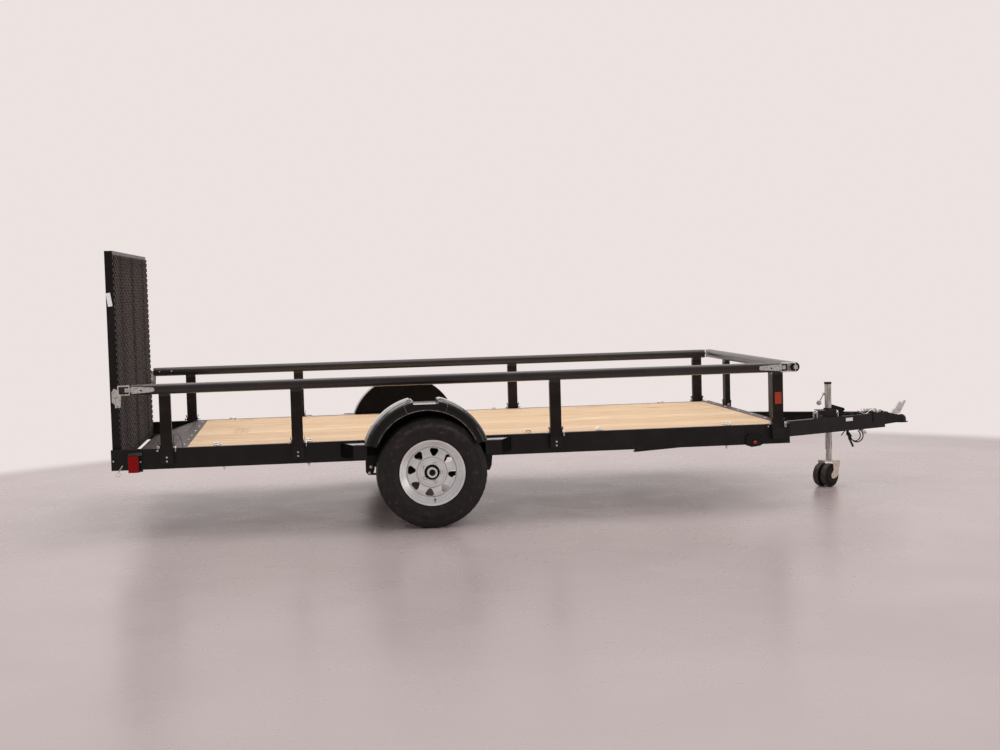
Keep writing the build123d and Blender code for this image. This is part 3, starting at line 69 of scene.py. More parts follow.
# ---- Wiring lead ----
# The lamps' lead: black sheathed cable that drops out of a grommet in the right-hand tongue beam
# and comes back round in a hanging loop to its flat plug, which a clip holds under the beam.
class Tap:
    """One output of a shader node. Sums, products and powers of it are Math nodes."""

    def __init__(self, tree, socket=None):
        self.tree = tree
        self.socket = socket

    def node(self, kind, settings, inputs, output=0):
        """Adds a node, sets it up, fills or joins its inputs, and gives one of its outputs."""
        made = self.tree.nodes.new("ShaderNode" + kind)
        for key, value in settings.items():
            setattr(made, key, value)
        for key, value in inputs.items():
            if isinstance(value, Tap):
                self.tree.links.new(value.socket, made.inputs[key])
            else:
                made.inputs[key].default_value = value
        return Tap(self.tree, None if output is None else made.outputs[output])

    def sum(self, operation, *values):
        return self.node("Math", {"operation": operation}, dict(enumerate(values)))

    def __add__(self, other):
        return self.sum("ADD", self, other)

    def __sub__(self, other):
        return self.sum("SUBTRACT", self, other)

    def __rsub__(self, other):
        return self.sum("SUBTRACT", other, self)

    def __mul__(self, other):
        return self.sum("MULTIPLY", self, other)

    def __truediv__(self, other):
        return self.sum("DIVIDE", self, other)

    def __pow__(self, other):
        return self.sum("POWER", self, other)

    __radd__ = __add__
    __rmul__ = __mul__

    def step(self, low, high):
        """0 below low, 1 above high, and a smooth rise between."""
        limits = {"Value": self, "From Min": low, "From Max": high}
        return self.node("MapRange", {"interpolation_type": "SMOOTHSTEP"}, limits)

    def between(self, low, high):
        """The colour low where this is 0 and high where it is 1."""
        return self.node("Mix", {"data_type": "RGBA"}, {0: self, 6: low, 7: high}, 2)

    def noise(self, scale, detail=3.0, rough=0.55):
        """Cloudy noise at these coordinates, about 0.5 in the middle."""
        values = {"Vector": self, "Scale": scale, "Detail": detail, "Roughness": rough}
        return self.node("TexNoise", {}, values)

    def scaled(self, x, y, z):
        """These coordinates, each multiplied by its own number."""
        return self.node("VectorMath", {"operation": "MULTIPLY"}, {0: self, 1: (x, y, z)})

    def axis(self, name):
        """One coordinate by itself: X, Y or Z."""
        return self.node("SeparateXYZ", {}, {0: self}, name)

    def bump(self, depth):
        """A normal from this height, whose full step is depth metres."""
        return self.node("Bump", {}, {"Height": self, "Distance": depth, "Strength": 1.0})


def colour(red, green, blue):
    """A colour as it is seen, from 0 to 255, as the light that it stands for."""
    seen = np.array((red, green, blue)) / 255.0
    light = np.where(seen > 0.04045, ((seen + 0.055) / 1.055) ** 2.4, seen / 12.92)
    return (*light.tolist(), 1.0)


def finish(name, layers):
    """A material whose one shader takes the sockets that layers works out from the coordinates."""
    material = bpy.data.materials.new(name)
    material.use_nodes = True
    tree = material.node_tree
    tree.nodes.clear()
    point = Tap(tree).node("TexCoord", {}, {}, "Object")
    shader = point.node("BsdfPrincipled", {}, layers(point))
    point.node("OutputMaterial", {}, {"Surface": shader}, None)
    return material


def dress(material, *nodes):
    """Gives CAD nodes their material."""
    for name in nodes:
        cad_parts[name].material_slots[0].material = material


def cable_sheath(point):
    """Black flexible plastic, dusty in patches."""
    dust = point.noise(60.0).step(0.45, 0.8)
    return {
        "Base Color": dust.between(colour(17, 15, 15), colour(34, 31, 30)),
        "Roughness": 0.42 + dust * 0.2,
        "Specular IOR Level": 0.25,
        "Normal": point.noise(900.0).bump(0.0001),
    }


def moulded_plastic(point):
    """Moulded black plastic with a fine grain and greyer scuffs."""
    scuff = point.noise(45.0, 4.0).step(0.5, 0.8)
    return {
        "Base Color": scuff.between(colour(18, 16, 16), colour(38, 34, 34)),
        "Roughness": 0.4 + scuff * 0.25,
        "Specular IOR Level": 0.25,
        "Normal": point.noise(1400.0).bump(0.00012),
    }


lead_diameter = 0.008
lead_exit = (2.354, -0.1249, 0.383)
lead_steps = [(0, 0), (15, -18), (19, -44), (7, -69), (-15, -83), (-41, -83), (-62, -71), (-73, -53)]

lead_curve = bpy.data.curves.new("lead", "CURVE")
lead_curve.dimensions = "3D"
lead_curve.bevel_depth = lead_diameter / 2
lead_curve.bevel_resolution = 5
lead_curve.resolution_u = 16
lead_curve.use_fill_caps = True
lead_spline = lead_curve.splines.new("NURBS")
lead_spline.points.add(len(lead_steps) - 1)
for control, (forward, up) in zip(lead_spline.points, lead_steps):
    control.co = (lead_exit[0] + forward / 1000, lead_exit[1], lead_exit[2] + up / 1000, 1.0)
lead_spline.order_u = 3
lead_spline.use_endpoint_u = True
lead = bpy.data.objects.new("lead", lead_curve)
bpy.context.collection.objects.link(lead)
lead_curve.materials.append(finish("cable_sheath", cable_sheath))
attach(lead, "chassis")
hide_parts("wiring_cable")
plastic = finish("moulded_plastic", moulded_plastic)
dress(plastic, "wiring_plug", "lead_fittings")


# ---- Studio floor and light ----
# A pale painted floor that ends in a soft round edge, with the same warm white all round it. One
# wide soft lamp hangs over the trailer, a weaker one fills the near side, and an upright strip
# ahead of it draws the highlights down tubes and tyre.
wall_white = colour(236, 227, 225)
room_fill = 0.96
floor_centre = (0.0, -1.5)
floor_radius = 6.0


def room_light(point, fill, away):
    """The room's strength: 1 for what is looked at, fill for the light that it throws, and for
    reflections a value that falls from 1 on the far side, where away is 1, to 0.35 behind the camera."""
    kinds = ("Camera", "Glossy", "Transmission")
    rays = [point.node("LightPath", {}, {}, "Is " + kind + " Ray") for kind in kinds]
    seen = point.sum("MAXIMUM", rays[0], rays[2])
    thrown = fill - point.sum("MAXIMUM", seen, rays[1]) * fill
    return seen + rays[1] * (0.35 + away * 0.65) * (1 - seen) + thrown


def floor_surface():
    """Grey floor paint inside the radius and the room's white beyond it."""
    material = bpy.data.materials.new("floor_paint")
    material.use_nodes = True
    tree = material.node_tree
    tree.nodes.clear()
    point = Tap(tree).node("TexCoord", {}, {}, "Object")
    cloud = point.noise(0.35, 4.0).step(0.3, 0.75)
    paint = cloud.between(colour(175, 165, 165), colour(187, 177, 176))
    rough = 0.2 + point.noise(2.0, 5.0) * 0.16
    coat = {"Base Color": paint, "Roughness": rough, "Specular IOR Level": 0.42}
    shine = point.node("BsdfPrincipled", {}, coat)
    strength = room_light(point, room_fill, point.axis("Y").step(-9.0, 2.0))
    glow = point.node("Emission", {}, {"Color": wall_white, "Strength": strength})
    centred = point.node("VectorMath", {"operation": "SUBTRACT"}, {0: point, 1: (*floor_centre, 0.0)})
    reach = centred.node("VectorMath", {"operation": "LENGTH"}, {0: centred}, "Value")
    edge = reach.step(floor_radius - 0.35, floor_radius + 0.25)
    both = point.node("MixShader", {}, {0: edge, 1: shine, 2: glow})
    point.node("OutputMaterial", {}, {"Surface": both}, None)
    return material


floor_mesh = bpy.data.meshes.new("floor")
floor_mesh.from_pydata([(-90, -90, 0), (90, -90, 0), (90, 90, 0), (-90, 90, 0)], [], [(0, 1, 2, 3)])
floor_mesh.materials.append(floor_surface())
floor = bpy.data.objects.new("floor", floor_mesh)
bpy.context.collection.objects.link(floor)

studio = bpy.data.worlds.new("studio")
studio.use_nodes = True
studio.node_tree.nodes.clear()
sky = Tap(studio.node_tree)
way = sky.node("TexCoord", {}, {}, "Generated")
strength = room_light(sky, room_fill, way.axis("Y").step(-0.8, 0.5))
room = sky.node("Background", {}, {"Color": wall_white, "Strength": strength})
room.node("OutputWorld", {}, {"Surface": room}, None)
bpy.context.scene.world = studio


def lamp(name, place, turn, size, power):
    """A soft rectangular lamp."""
    light = bpy.data.lights.new(name, "AREA")
    light.shape = "RECTANGLE"
    light.size, light.size_y = size
    light.energy = power
    light.color = (1.0, 0.97, 0.95)
    fitting = bpy.data.objects.new(name, light)
    fitting.location = place
    fitting.rotation_euler = turn
    bpy.context.collection.objects.link(fitting)
    return fitting


lamp("overhead", (-0.4, 0.6, 4.6), (0.0, 0.0, 0.0), (7.0, 4.0), 125.0)
near_fill = lamp("near_fill", (-2.0, -7.0, 3.6), (1.15, 0.0, 0.0), (5.0, 2.5), 60.0)
near_fill.visible_glossy = False
lamp("side_strip", (6.5, -6.6, 2.2), (1.37, 0.0, 0.686), (0.9, 3.0), 30.0)


# ---- Frame steel ----
# The side channels, cross members, tongue beams and pockets: folded and welded steel under one
# coat of black powder, a little dusty on top and finely dimpled like all such coats.
def powder_coat(point):
    """Satin black powder coat: fine dimples, faint dust and a few rubbed places."""
    dust = point.noise(9.0, 5.0).step(0.42, 0.78)
    rubbed = point.scaled(1.0, 1.0, 3.0).noise(38.0, 6.0, 0.7).step(0.66, 0.74)
    coat = dust.between(colour(19, 16, 16), colour(32, 28, 28))
    return {
        "Base Color": (rubbed * 0.4).between(coat, colour(66, 62, 61)),
        "Roughness": 0.36 + dust * 0.14 + rubbed * 0.1,
        "Specular IOR Level": 0.34,
        "Normal": point.noise(420.0, 2.0).bump(0.00022),
    }


frame_coat = finish("powder_coat", powder_coat)
dress(frame_coat, "frame_rail_left", "frame_rail_right", "crossmembers", "rear_member", "stake_pockets",
      "tongue_beam_left", "tongue_beam_right", "lamp_brackets", "spring_hangers", "leaf_springs", "axle")


# ---- Bolts of the frame ----
# Zinc plated carriage bolts: low domed heads on the pockets and the brackets, and their nuts and
# ends under the rails.
rear_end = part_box("frame_rail_right")[0].x
post_row = [0.340, 1.138, 2.762, 4.213]


def skin(name, grids, material, body, crease=35.0):
    """One mesh over grids of points, each an array (rows, columns, 3) whose neighbours make quads.
    Points that meet are merged, so a grid that comes back to its first column is closed."""
    sizes = [grid.shape[0] * grid.shape[1] for grid in grids]
    starts = np.cumsum([0, *sizes])
    faces = []
    for grid, start in zip(grids, starts):
        corner = np.arange(grid.shape[0] * grid.shape[1]).reshape(grid.shape[:2]) + start
        quads = (corner[:-1, :-1], corner[:-1, 1:], corner[1:, 1:], corner[1:, :-1])
        faces.append(np.stack(quads, axis=-1).reshape(-1, 4))
    points = np.concatenate([grid.reshape(-1, 3) for grid in grids])
    mesh = bpy.data.meshes.new(name)
    mesh.from_pydata(points.tolist(), [], np.concatenate(faces).tolist())
    work = bmesh.new()
    work.from_mesh(mesh)
    bmesh.ops.remove_doubles(work, verts=work.verts, dist=1e-6)
    bmesh.ops.recalc_face_normals(work, faces=work.faces)
    work.to_mesh(mesh)
    work.free()
    mesh.shade_smooth()
    mesh.set_sharp_from_angle(angle=math.radians(crease))
    mesh.materials.append(material)
    made = bpy.data.objects.new(name, mesh)
    bpy.context.collection.objects.link(made)
    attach(made, body)
    return made


def turned(profile, place, along, steps=16):
    """A profile of (height, radius) turned about the line through place in the direction along:
    each row is a circle of its radius at its height."""
    way = np.array(along, float) / np.linalg.norm(along)
    first = np.cross(way, (0.0, 0.0, 1.0) if abs(way[2]) < 0.9 else (1.0, 0.0, 0.0))
    first = first / np.linalg.norm(first)
    second = np.cross(way, first)
    turn = np.linspace(0, 2 * np.pi, steps + 1)
    ring = np.cos(turn)[:, None] * first + np.sin(turn)[:, None] * second
    height, radius = np.array(profile, float).T
    return np.array(place) + height[:, None, None] * way + radius[:, None, None] * ring


def domed_bolt(place, along, radius):
    """A low domed head on a thin washer."""
    profile = [(-0.2, 0), (-0.2, 1.25), (0.1, 1.25), (0.12, 1.0), (0.3, 0.96), (0.48, 0.7),
               (0.56, 0.35), (0.58, 0)]
    return turned(np.array(profile) * radius, place, along, 14)


def hung_nut(place, radius, drop):
    """A nut up against a flange with the bolt's end below it."""
    profile = [(0, 0), (0, 1.1), (0.75, 1.1), (0.8, 1.0), (0.82, 0.55), (drop / radius, 0.52),
               (drop / radius, 0)]
    return turned(np.array(profile) * radius, place, (0, 0, -1), 6)


def rod(start, end, radius, steps=10):
    """A round rod between two points, closed at both ends."""
    length = float(np.linalg.norm(np.subtract(end, start)))
    return turned([(0, 0), (0, radius), (length, radius), (length, 0)], start, np.subtract(end, start), steps)


def ring(middle, along, radius, wire, steps=24):
    """A wire ring: a small circle at the ring's radius, turned about the direction along."""
    turn = np.linspace(0, 2 * np.pi, 9)
    return turned(np.stack((wire * np.sin(turn), radius + wire * np.cos(turn)), 1), middle, along, steps)


def bar(path, radius, steps=8):
    """A round bar along a path, closed at both ends. Each section lies across the path there."""
    path = np.array(path, float)
    way = np.gradient(path, axis=0)
    way = way / np.linalg.norm(way, axis=1, keepdims=True)
    side = np.cross(way, (0.13, 0.97, 0.21))
    side = side / np.linalg.norm(side, axis=1, keepdims=True)
    turn = np.linspace(0, 2 * np.pi, steps + 1)[None, :, None]
    over = np.cross(way, side)
    rows = path[:, None] + radius * (np.cos(turn) * side[:, None] + np.sin(turn) * over[:, None])
    ends = path[[0, -1], None] + 0 * rows[[0, -1]]
    return np.concatenate((ends[:1], rows, ends[1:]))


def slab(middle, across, up, size):
    """A flat box about middle. size is its width along across, its height along up and its depth."""
    across, up = (np.array(way, float) / np.linalg.norm(way) for way in (across, up))
    corner = np.array([(-1, -1), (1, -1), (1, 1), (-1, 1), (-1, -1)]) / 2
    flat = corner[:, :1] * size[0] * across + corner[:, 1:] * size[1] * up
    half = np.cross(across, up) * size[2] / 2
    return np.array(middle) + np.array([0 * flat - half, flat - half, flat + half, 0 * flat + half])


def zinc_plate(point):
    """Bright zinc plate, cloudy, with darker stains in patches."""
    stain = point.noise(70.0, 4.0).step(0.45, 0.75)
    return {
        "Base Color": stain.between(colour(240, 238, 234), colour(158, 153, 148)),
        "Metallic": 0.8,
        "Roughness": 0.2 + stain * 0.2,
        "Normal": point.noise(500.0).bump(0.0001),
    }


zinc = finish("zinc_plate", zinc_plate)
hanger_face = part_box("spring_hangers")[1].y
frame_bolts = []
for mirror in (1, -1):
    for across in post_row[:3]:
        for up in (0.464, 0.488):
            frame_bolts.append(domed_bolt((rear_end + across, mirror * 1.0425, up), (0, mirror, 0), 0.0046))
    frame_bolts.append(domed_bolt((rear_end + 0.306, mirror * 0.998, 0.526), (0, mirror, 0), 0.0045))
    frame_bolts.append(domed_bolt((rear_end + 4.160, mirror * 0.998, 0.526), (0, mirror, 0), 0.0045))
    frame_bolts.append(domed_bolt((rear_end + 0.178, mirror * 0.998, 0.4623), (0.3, mirror, 0), 0.0065))
    frame_bolts.append(domed_bolt((rear_end + 0.2815, mirror * 0.998, 0.5275), (0, mirror, 0), 0.0055))
    for across, up in ((1.588, 0.3728), (1.578, 0.3353)):
        frame_bolts.append(domed_bolt((rear_end + across, mirror * hanger_face, up), (0, mirror, 0), 0.0075))
    for across in (0.682, 1.203, 3.884):
        frame_bolts.append(hung_nut((rear_end + across, mirror * 0.975, 0.413), 0.0105, 0.021))
skin("frame_bolts", frame_bolts, zinc, "chassis", 30)


# ---- Dovetail plate and header ----
# The sloped rear of the deck is one dark grey ribbed sheet bolted down along its front edge; the
# header at the front is a folded strip of the same sheet over the boards' ends.
def ribbed_sheet(point):
    """Dark grey coat, worn paler on the ribs and dusty between them."""
    dust = point.noise(14.0, 5.0).step(0.35, 0.8)
    scratch = point.scaled(3.0, 26.0, 3.0).noise(16.0, 5.0, 0.7).step(0.62, 0.72)
    coat = dust.between(colour(65, 55, 54), colour(84, 74, 72))
    return {
        "Base Color": (scratch * 0.5).between(coat, colour(112, 105, 104)),
        "Roughness": 0.45 + dust * 0.15,
        "Normal": point.noise(300.0).bump(0.0002),
    }


sheet_coat = finish("ribbed_sheet", ribbed_sheet)
dress(sheet_coat, "dovetail_plate", "front_header")
deck_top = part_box("deck_planks")[1].z
header_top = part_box("front_header")[1].z
plate_bolts = [
    domed_bolt((rear_end + 0.429, y, deck_top + 0.0005), (0, 0, 1), 0.0075)
    for y in (-0.806, -0.5, -0.217, 0.1, 0.446, 0.8)
]
plate_bolts += [
    domed_bolt((rear_end + 4.262, y, header_top), (0, 0, 1), 0.008)
    for y in (-0.9, -0.60, -0.285, 0.05, 0.385, 0.7, 0.93)
]
skin("plate_bolts", plate_bolts, zinc, "chassis", 30)


# ---- Deck boards ----
# Ten bare softwood boards lie along the deck with a small gap between them. Their long edges are
# eased, each is cut from its own tree, and the ends go under the header and up to the dovetail.
board_count = 10
board_gap = 0.003
board_edge = 0.004
deck_low, deck_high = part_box("deck_planks")
board_pitch = (deck_high.y - deck_low.y + board_gap) / board_count
smudge_x = rear_end + 0.750


def board(low_y, high_y):
    """A board: a box section with rounded corners carried along x, closed at both ends."""
    corner = np.linspace(0, np.pi / 2, 4)
    arcs = []
    corners = ((high_y, deck_high.z), (low_y, deck_high.z), (low_y, deck_low.z), (high_y, deck_low.z))
    for turn, (y, z) in enumerate(corners):
        away_y = board_edge * (1 if y == high_y else -1)
        away_z = board_edge * (1 if z == deck_high.z else -1)
        angle = corner + turn * np.pi / 2
        round_y = y - away_y + board_edge * np.cos(angle)
        round_z = z - away_z + board_edge * np.sin(angle)
        arcs.append(np.stack((round_y, round_z), 1))
    outline = np.concatenate(arcs)
    outline = np.concatenate((outline, outline[:1]))
    places = (deck_low.x, deck_low.x, deck_high.x, deck_high.x)
    rows = [np.column_stack((np.full(len(outline), x), outline)) for x in places]
    rows[0][:, 1:] = rows[3][:, 1:] = outline.mean(0)
    return np.array(rows)


def softwood(point):
    """Pale pine. Growth rings: a slow wave across each board, bent by noise that is long along the
    board. Each board shifts the noise by its own number, and knots are rare dark spots. Some boards
    have a dark smudge near their rear end."""
    boards_over = (point.axis("Y") - deck_low.y) / board_pitch
    which = boards_over.sum("FLOOR", boards_over)
    shift = which.node("CombineXYZ", {}, {0: which * 7.31, 1: which * 3.17, 2: which * 1.93})
    own = point.node("VectorMath", {"operation": "ADD"}, {0: point, 1: shift})
    flow = own.scaled(0.35, 5.0, 5.0).noise(1.6, 2.0)
    rings = (own.axis("Y") * 26.0 + own.axis("Z") * 9.0 + flow * 9.0) * 6.2832
    late = (rings.sum("SINE", rings) * 0.5 + 0.5) ** 3.0
    streak = own.scaled(0.8, 34.0, 34.0).noise(3.0, 5.0, 0.65).step(0.5, 0.72)
    fibre = own.scaled(6.0, 260.0, 260.0).noise(3.0, 3.0)
    hair = own.scaled(1.6, 75.0, 75.0).noise(3.0, 4.0, 0.7).step(0.6, 0.7)
    cells = {"Vector": own.scaled(1.3, 5.2, 5.2), "Scale": 1.0, "Randomness": 1.0}
    spots = own.node("TexVoronoi", {}, cells, "Distance")
    knot = 1.0 - spots.step(0.045, 0.095)
    halo = 1.0 - spots.step(0.05, 0.24)
    tone = which.node("TexWhiteNoise", {"noise_dimensions": "1D"}, {"W": which}, "Value")
    base = tone.between(colour(230, 206, 173), colour(217, 189, 154))
    ringed = (late * 0.4).between(base, colour(178, 138, 98))
    streaked = (streak * 0.55).between(ringed, colour(168, 128, 96))
    haired = (hair * 0.45).between(streaked, colour(120, 84, 56))
    lot = which.node("TexWhiteNoise", {"noise_dimensions": "1D"}, {"W": which + 20.0}, "Value")
    ahead = point.axis("X")
    past = ahead.step(smudge_x - 0.06, smudge_x - 0.04)
    near = past * (1 - ahead.step(smudge_x + 0.04, smudge_x + 0.06))
    smudge = own.noise(75.0, 3.0).step(0.52, 0.6) * near * lot.step(0.35, 0.4)
    haloed = (halo * 0.45).between(haired, colour(166, 122, 84))
    toned = (smudge * 0.6).between(haloed, colour(92, 76, 66))
    return {
        "Base Color": (knot * 0.75).between(toned, colour(112, 74, 48)),
        "Roughness": 0.62 + fibre * 0.15,
        "Specular IOR Level": 0.3,
        "Normal": (fibre * 0.6 + late * 0.4).bump(0.0004),
    }


boards = [
    board(deck_low.y + i * board_pitch, deck_low.y + (i + 1) * board_pitch - board_gap)
    for i in range(board_count)
]
deck_boards = skin("deck_boards", boards, finish("softwood", softwood), "chassis", 50)
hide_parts("deck_planks")


# ---- Side and front rails ----
# Round steel tube on box posts, in a satin black coat that looks a little browner than the frame
# where the light catches it, with black plastic caps in the tube ends.
def tube_coat(point):
    """Satin coat with long faint streaks and very fine dimples, glossier on the tubes than on the
    posts below them."""
    dust = point.scaled(0.4, 1.0, 1.0).noise(11.0, 5.0).step(0.4, 0.8)
    tube = point.axis("Z").step(0.860, 0.870)
    return {
        "Base Color": dust.between(colour(28, 21, 20), colour(41, 33, 32)),
        "Roughness": 0.42 + dust * 0.12,
        "Specular IOR Level": 0.2,
        "Coat Weight": tube,
        "Coat Roughness": 0.3,
        "Normal": point.noise(500.0, 2.0).bump(0.0002),
    }


rail_coat = finish("tube_coat", tube_coat)
dress(rail_coat, "side_rail_left", "side_rail_right", "front_rail")
dress(plastic, "tube_caps")


# ---- Ramp gate ----
# A welded frame of square tube with a sheet of expanded steel over its front. The sheet is slit
# and drawn, so each strand is a thin bar that weaves up and down and stands at a slant.
def gate_coat(point):
    """The frame's black coat on the gate's tubes, streaked downwards."""
    dust = point.scaled(1.0, 1.0, 0.3).noise(12.0, 5.0).step(0.42, 0.8)
    return {
        "Base Color": dust.between(colour(18, 14, 14), colour(30, 25, 25)),
        "Roughness": 0.36 + dust * 0.14,
        "Specular IOR Level": 0.3,
        "Normal": point.noise(420.0, 2.0).bump(0.0002),
    }


gate_black = finish("gate_coat", gate_coat)
dress(gate_black, "gate_frame")
mesh_low, mesh_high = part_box("gate_mesh")
mesh_rib_pitch = 0.62
diamond_long = 0.080
diamond_short = 0.0372
strand_width = 0.0085
strand_thickness = 0.0032
strand_slant = math.radians(66)
sheet_margin = 0.0035
strand_rows = round((mesh_high.z - mesh_low.z - 2 * sheet_margin) / (diamond_short / 2))
row_pitch = (mesh_high.z - mesh_low.z - 2 * sheet_margin) / strand_rows


def mesh_strand(row, count):
    """One slit strand. Its line runs across the sheet as a rounded zigzag of a quarter diamond up
    and down, opposite in every other row; its section is a slanted flat bar."""
    across = np.linspace(mesh_low.y, mesh_high.y, count)
    phase = 2 * np.pi * (across - mesh_low.y) / diamond_long + row * np.pi
    wave = np.clip(1.35 * np.arcsin(np.sin(phase)) * 2 / np.pi, -1, 1)
    middle_z = mesh_low.z + sheet_margin + (row + 0.5) * row_pitch + wave * diamond_short / 4
    corners = np.array([(-1, -1), (1, -1), (1, 1), (-1, 1), (-1, -1)]) / 2
    corners = corners * (strand_thickness, strand_width)
    turned_x = corners[:, 0] * math.cos(strand_slant) + corners[:, 1] * math.sin(strand_slant)
    turned_z = -corners[:, 0] * math.sin(strand_slant) + corners[:, 1] * math.cos(strand_slant)
    x = mesh_low.x + 0.0047 + turned_x[None, :] + 0 * across[:, None]
    z = middle_z[:, None] + turned_z[None, :]
    rows = np.stack((x, np.broadcast_to(across[:, None], z.shape), z), axis=-1)
    ends = rows[[0, -1]].mean(axis=1, keepdims=True) + 0 * rows[[0, -1]]
    return np.concatenate((ends[:1], rows, ends[1:]))


def mesh_coat(point):
    """The sheet's coat, browner and duller than the tubes, thin and pale on some strand edges, with
    painted shade where a rib of the frame stands behind it: where a cosine over the ribs' distance
    is near its ends."""
    wear = point.noise(90.0, 4.0).step(0.55, 0.75)
    across = point.axis("Y") * (math.pi / mesh_rib_pitch)
    wave = across.sum("COSINE", across)
    # Painted shade: the strands are darkened where a rib of the gate's frame stands behind the sheet.
    behind = wave.sum("ABSOLUTE", wave).step(0.9, 0.97)
    pale = wear.between(colour(68, 58, 56), colour(96, 85, 81))
    return {
        "Base Color": (behind * 0.7).between(pale, colour(26, 21, 20)),
        "Roughness": 0.5,
        "Specular IOR Level": 0.3,
        "Normal": point.noise(600.0).bump(0.0002),
    }


column_points = int(round((mesh_high.y - mesh_low.y) / diamond_long * 8)) + 1
strands = [mesh_strand(row, column_points) for row in range(strand_rows)]
gate_sheet = skin("expanded_sheet", strands, finish("mesh_coat", mesh_coat), "ramp_gate", 30)
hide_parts("gate_mesh")
rib_middle = (mesh_low.z + mesh_high.z) / 2
rib_size = (0.034, mesh_high.z - mesh_low.z - 0.05, 0.004)
flat_ribs = [
    slab((mesh_low.x - 0.0185, across, rib_middle), (1, 0, 0), (0, 0, 1), rib_size)
    for across in (-0.69, 0.69)
]
skin("gate_flat_ribs", flat_ribs, gate_black, "ramp_gate")


# ---- Small things on the gate ----
# A pale blank tag on the near upright, stuck on at a slight slant.
def pale_print(point):
    """Matt off-white sticker, a little grey in places."""
    soil = point.noise(80.0, 4.0).step(0.45, 0.8)
    return {"Base Color": soil.between(colour(240, 238, 240), colour(206, 200, 202)), "Roughness": 0.6}


pale_sticker = finish("pale_sticker", pale_print)
tag = slab((rear_end + 0.0225, -0.9456, 1.463), (0.083, 0, 0.012), (-0.012, 0, 0.083), (0.0275, 0.083, 0.001))
skin("gate_tag", [tag], pale_sticker, "ramp_gate")


# ---- Latches, pins and other zinc parts ----
# The draw latches on the rail tubes, the catches and bails, the stake pins and the clips are zinc
# plated steel. The hinge pins have the frame's black coat.
dress(zinc, "draw_latches", "front_catches", "gate_catches", "rail_pins", "axle_clamps", "coupler_lever",
      "safety_chains", "tie_downs")
dress(sheet_coat, "jack_clamp")
dress(frame_coat, "hinge_pins")
gate_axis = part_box("hinge_pins")
gate_axis_z = (gate_axis[0].z + gate_axis[1].z) / 2
pieces = []
for mirror in (1, -1):
    pieces.append(domed_bolt((rear_end + 0.014, mirror * 1.006, gate_axis_z), (0, mirror, 0), 0.0045))
    for across in (0.114, 0.202):
        pieces.append(domed_bolt((rear_end + across, mirror * 0.9885, 0.912), (0, -mirror, 0), 0.005))
    pin_y = mirror * 1.0015
    pieces.append(rod((rear_end + 0.064, pin_y, 0.436), (rear_end + 0.040, pin_y, 0.402), 0.0032))
    collar = (rear_end + 0.067, mirror * 0.996, 0.440), (rear_end + 0.061, mirror * 1.005, 0.432)
    pieces.append(rod(*collar, 0.0055))
    pieces.append(ring((rear_end + 0.040, pin_y, 0.388), (0, 1, 0), 0.013, 0.0013))
    for across in (0.643, 1.203, 3.059, 3.900):
        eye = (rear_end + across, mirror * 0.930, deck_top + 0.009)
        pieces.append(ring(eye, (0, 0.2 * mirror, 1), 0.023, 0.0038))
skin("small_zinc", pieces, zinc, "chassis", 40)
# Thin black discs over the handle holes in the rail tubes: painted shade for the holes' dark insides.
holes = []
for mirror in (1, -1):
    for across in (0.205, 4.163):
        ends = [(rear_end + across, mirror * y, 0.907) for y in (1.074, 1.0759)]
        holes.append(rod(*ends, 0.0055))
skin("handle_hole_shade", holes, plastic, "chassis")


# ---- Wheels ----
# Galvanised steel rims with eight holes on black hubs, and radial tyres with grooved crowns. The
# zinc has painted shade in rings, and the rubber is dusty and scuffed.
def ring_line(reach, radius, half):
    """1 at this distance from the axle, falling to 0 within half on either side."""
    return reach.step(radius - half, radius) * (1 - reach.step(radius, radius + half))


def galvanising(point):
    """Zinc bath coat: patches of crystals, each with its own grey, with painted shade in the rolled rings
    of the rim, the joint of its disc and the edge of the hub's seat, all by distance from the axle."""
    ahead = point.axis("X") - axle_x
    above = point.axis("Z") - axle_z
    reach = (ahead * ahead + above * above) ** 0.5
    # Painted shade: dark rings at the rim's rolled folds, the disc's joint and the edge of the hub's seat.
    painted_ring_shade = ring_line(reach, 0.1545, 0.004) * 0.55 + ring_line(reach, 0.189, 0.0025) * 0.4
    painted_ring_shade = painted_ring_shade + ring_line(reach, 0.174, 0.003) * 0.22
    seat = ring_line(reach, 0.0935, 0.003) * 0.6 + ring_line(reach, 0.0785, 0.0025) * 0.4
    crystal = point.node("TexVoronoi", {"feature": "F1"}, {"Vector": point, "Scale": 42.0}, "Color")
    shade = crystal.axis("X")
    cloud = point.noise(18.0, 4.0).step(0.3, 0.75)
    plain = (shade * 0.3 + cloud * 0.5).between(colour(246, 248, 248), colour(222, 224, 225))
    return {
        "Base Color": (painted_ring_shade + seat).between(plain, colour(60, 63, 65)),
        "Metallic": 0.6,
        "Roughness": 0.24,
        "Normal": point.noise(30.0).bump(0.0001),
    }


axle_x = (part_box("tyre_right")[0].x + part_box("tyre_right")[1].x) / 2
axle_z = (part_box("tyre_right")[0].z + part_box("tyre_right")[1].z) / 2
galvanised = finish("galvanising", galvanising)
dress(galvanised, "rim_left", "rim_right")


def rubber(point):
    """Tyre rubber: nearly black, grey with dust where it has been handled, with pale scuffs and a
    brown ring of dust round the shoulder, thickest at the top."""
    dust = point.noise(22.0, 5.0, 0.65).step(0.45, 0.8)
    scuff = point.noise(26.0, 6.0, 0.75).step(0.57, 0.7)
    ahead = point.axis("X") - axle_x
    above = point.axis("Z") - axle_z
    reach = (ahead * ahead + above * above) ** 0.5
    brown = ring_line(reach, 0.296, 0.022) * above.step(0.12, 0.29)
    brown = brown * point.noise(30.0, 5.0, 0.7).step(0.35, 0.65)
    black = (dust + brown * 0.9).between(colour(25, 21, 21), colour(46, 40, 38))
    return {
        "Base Color": (scuff * 0.45 + brown * 0.3).between(black, colour(98, 88, 82)),
        "Roughness": 0.5 + dust * 0.2,
        "Specular IOR Level": 0.4,
        "Normal": point.noise(500.0).bump(0.00025),
    }


tyre_rubber = finish("tyre_rubber", rubber)


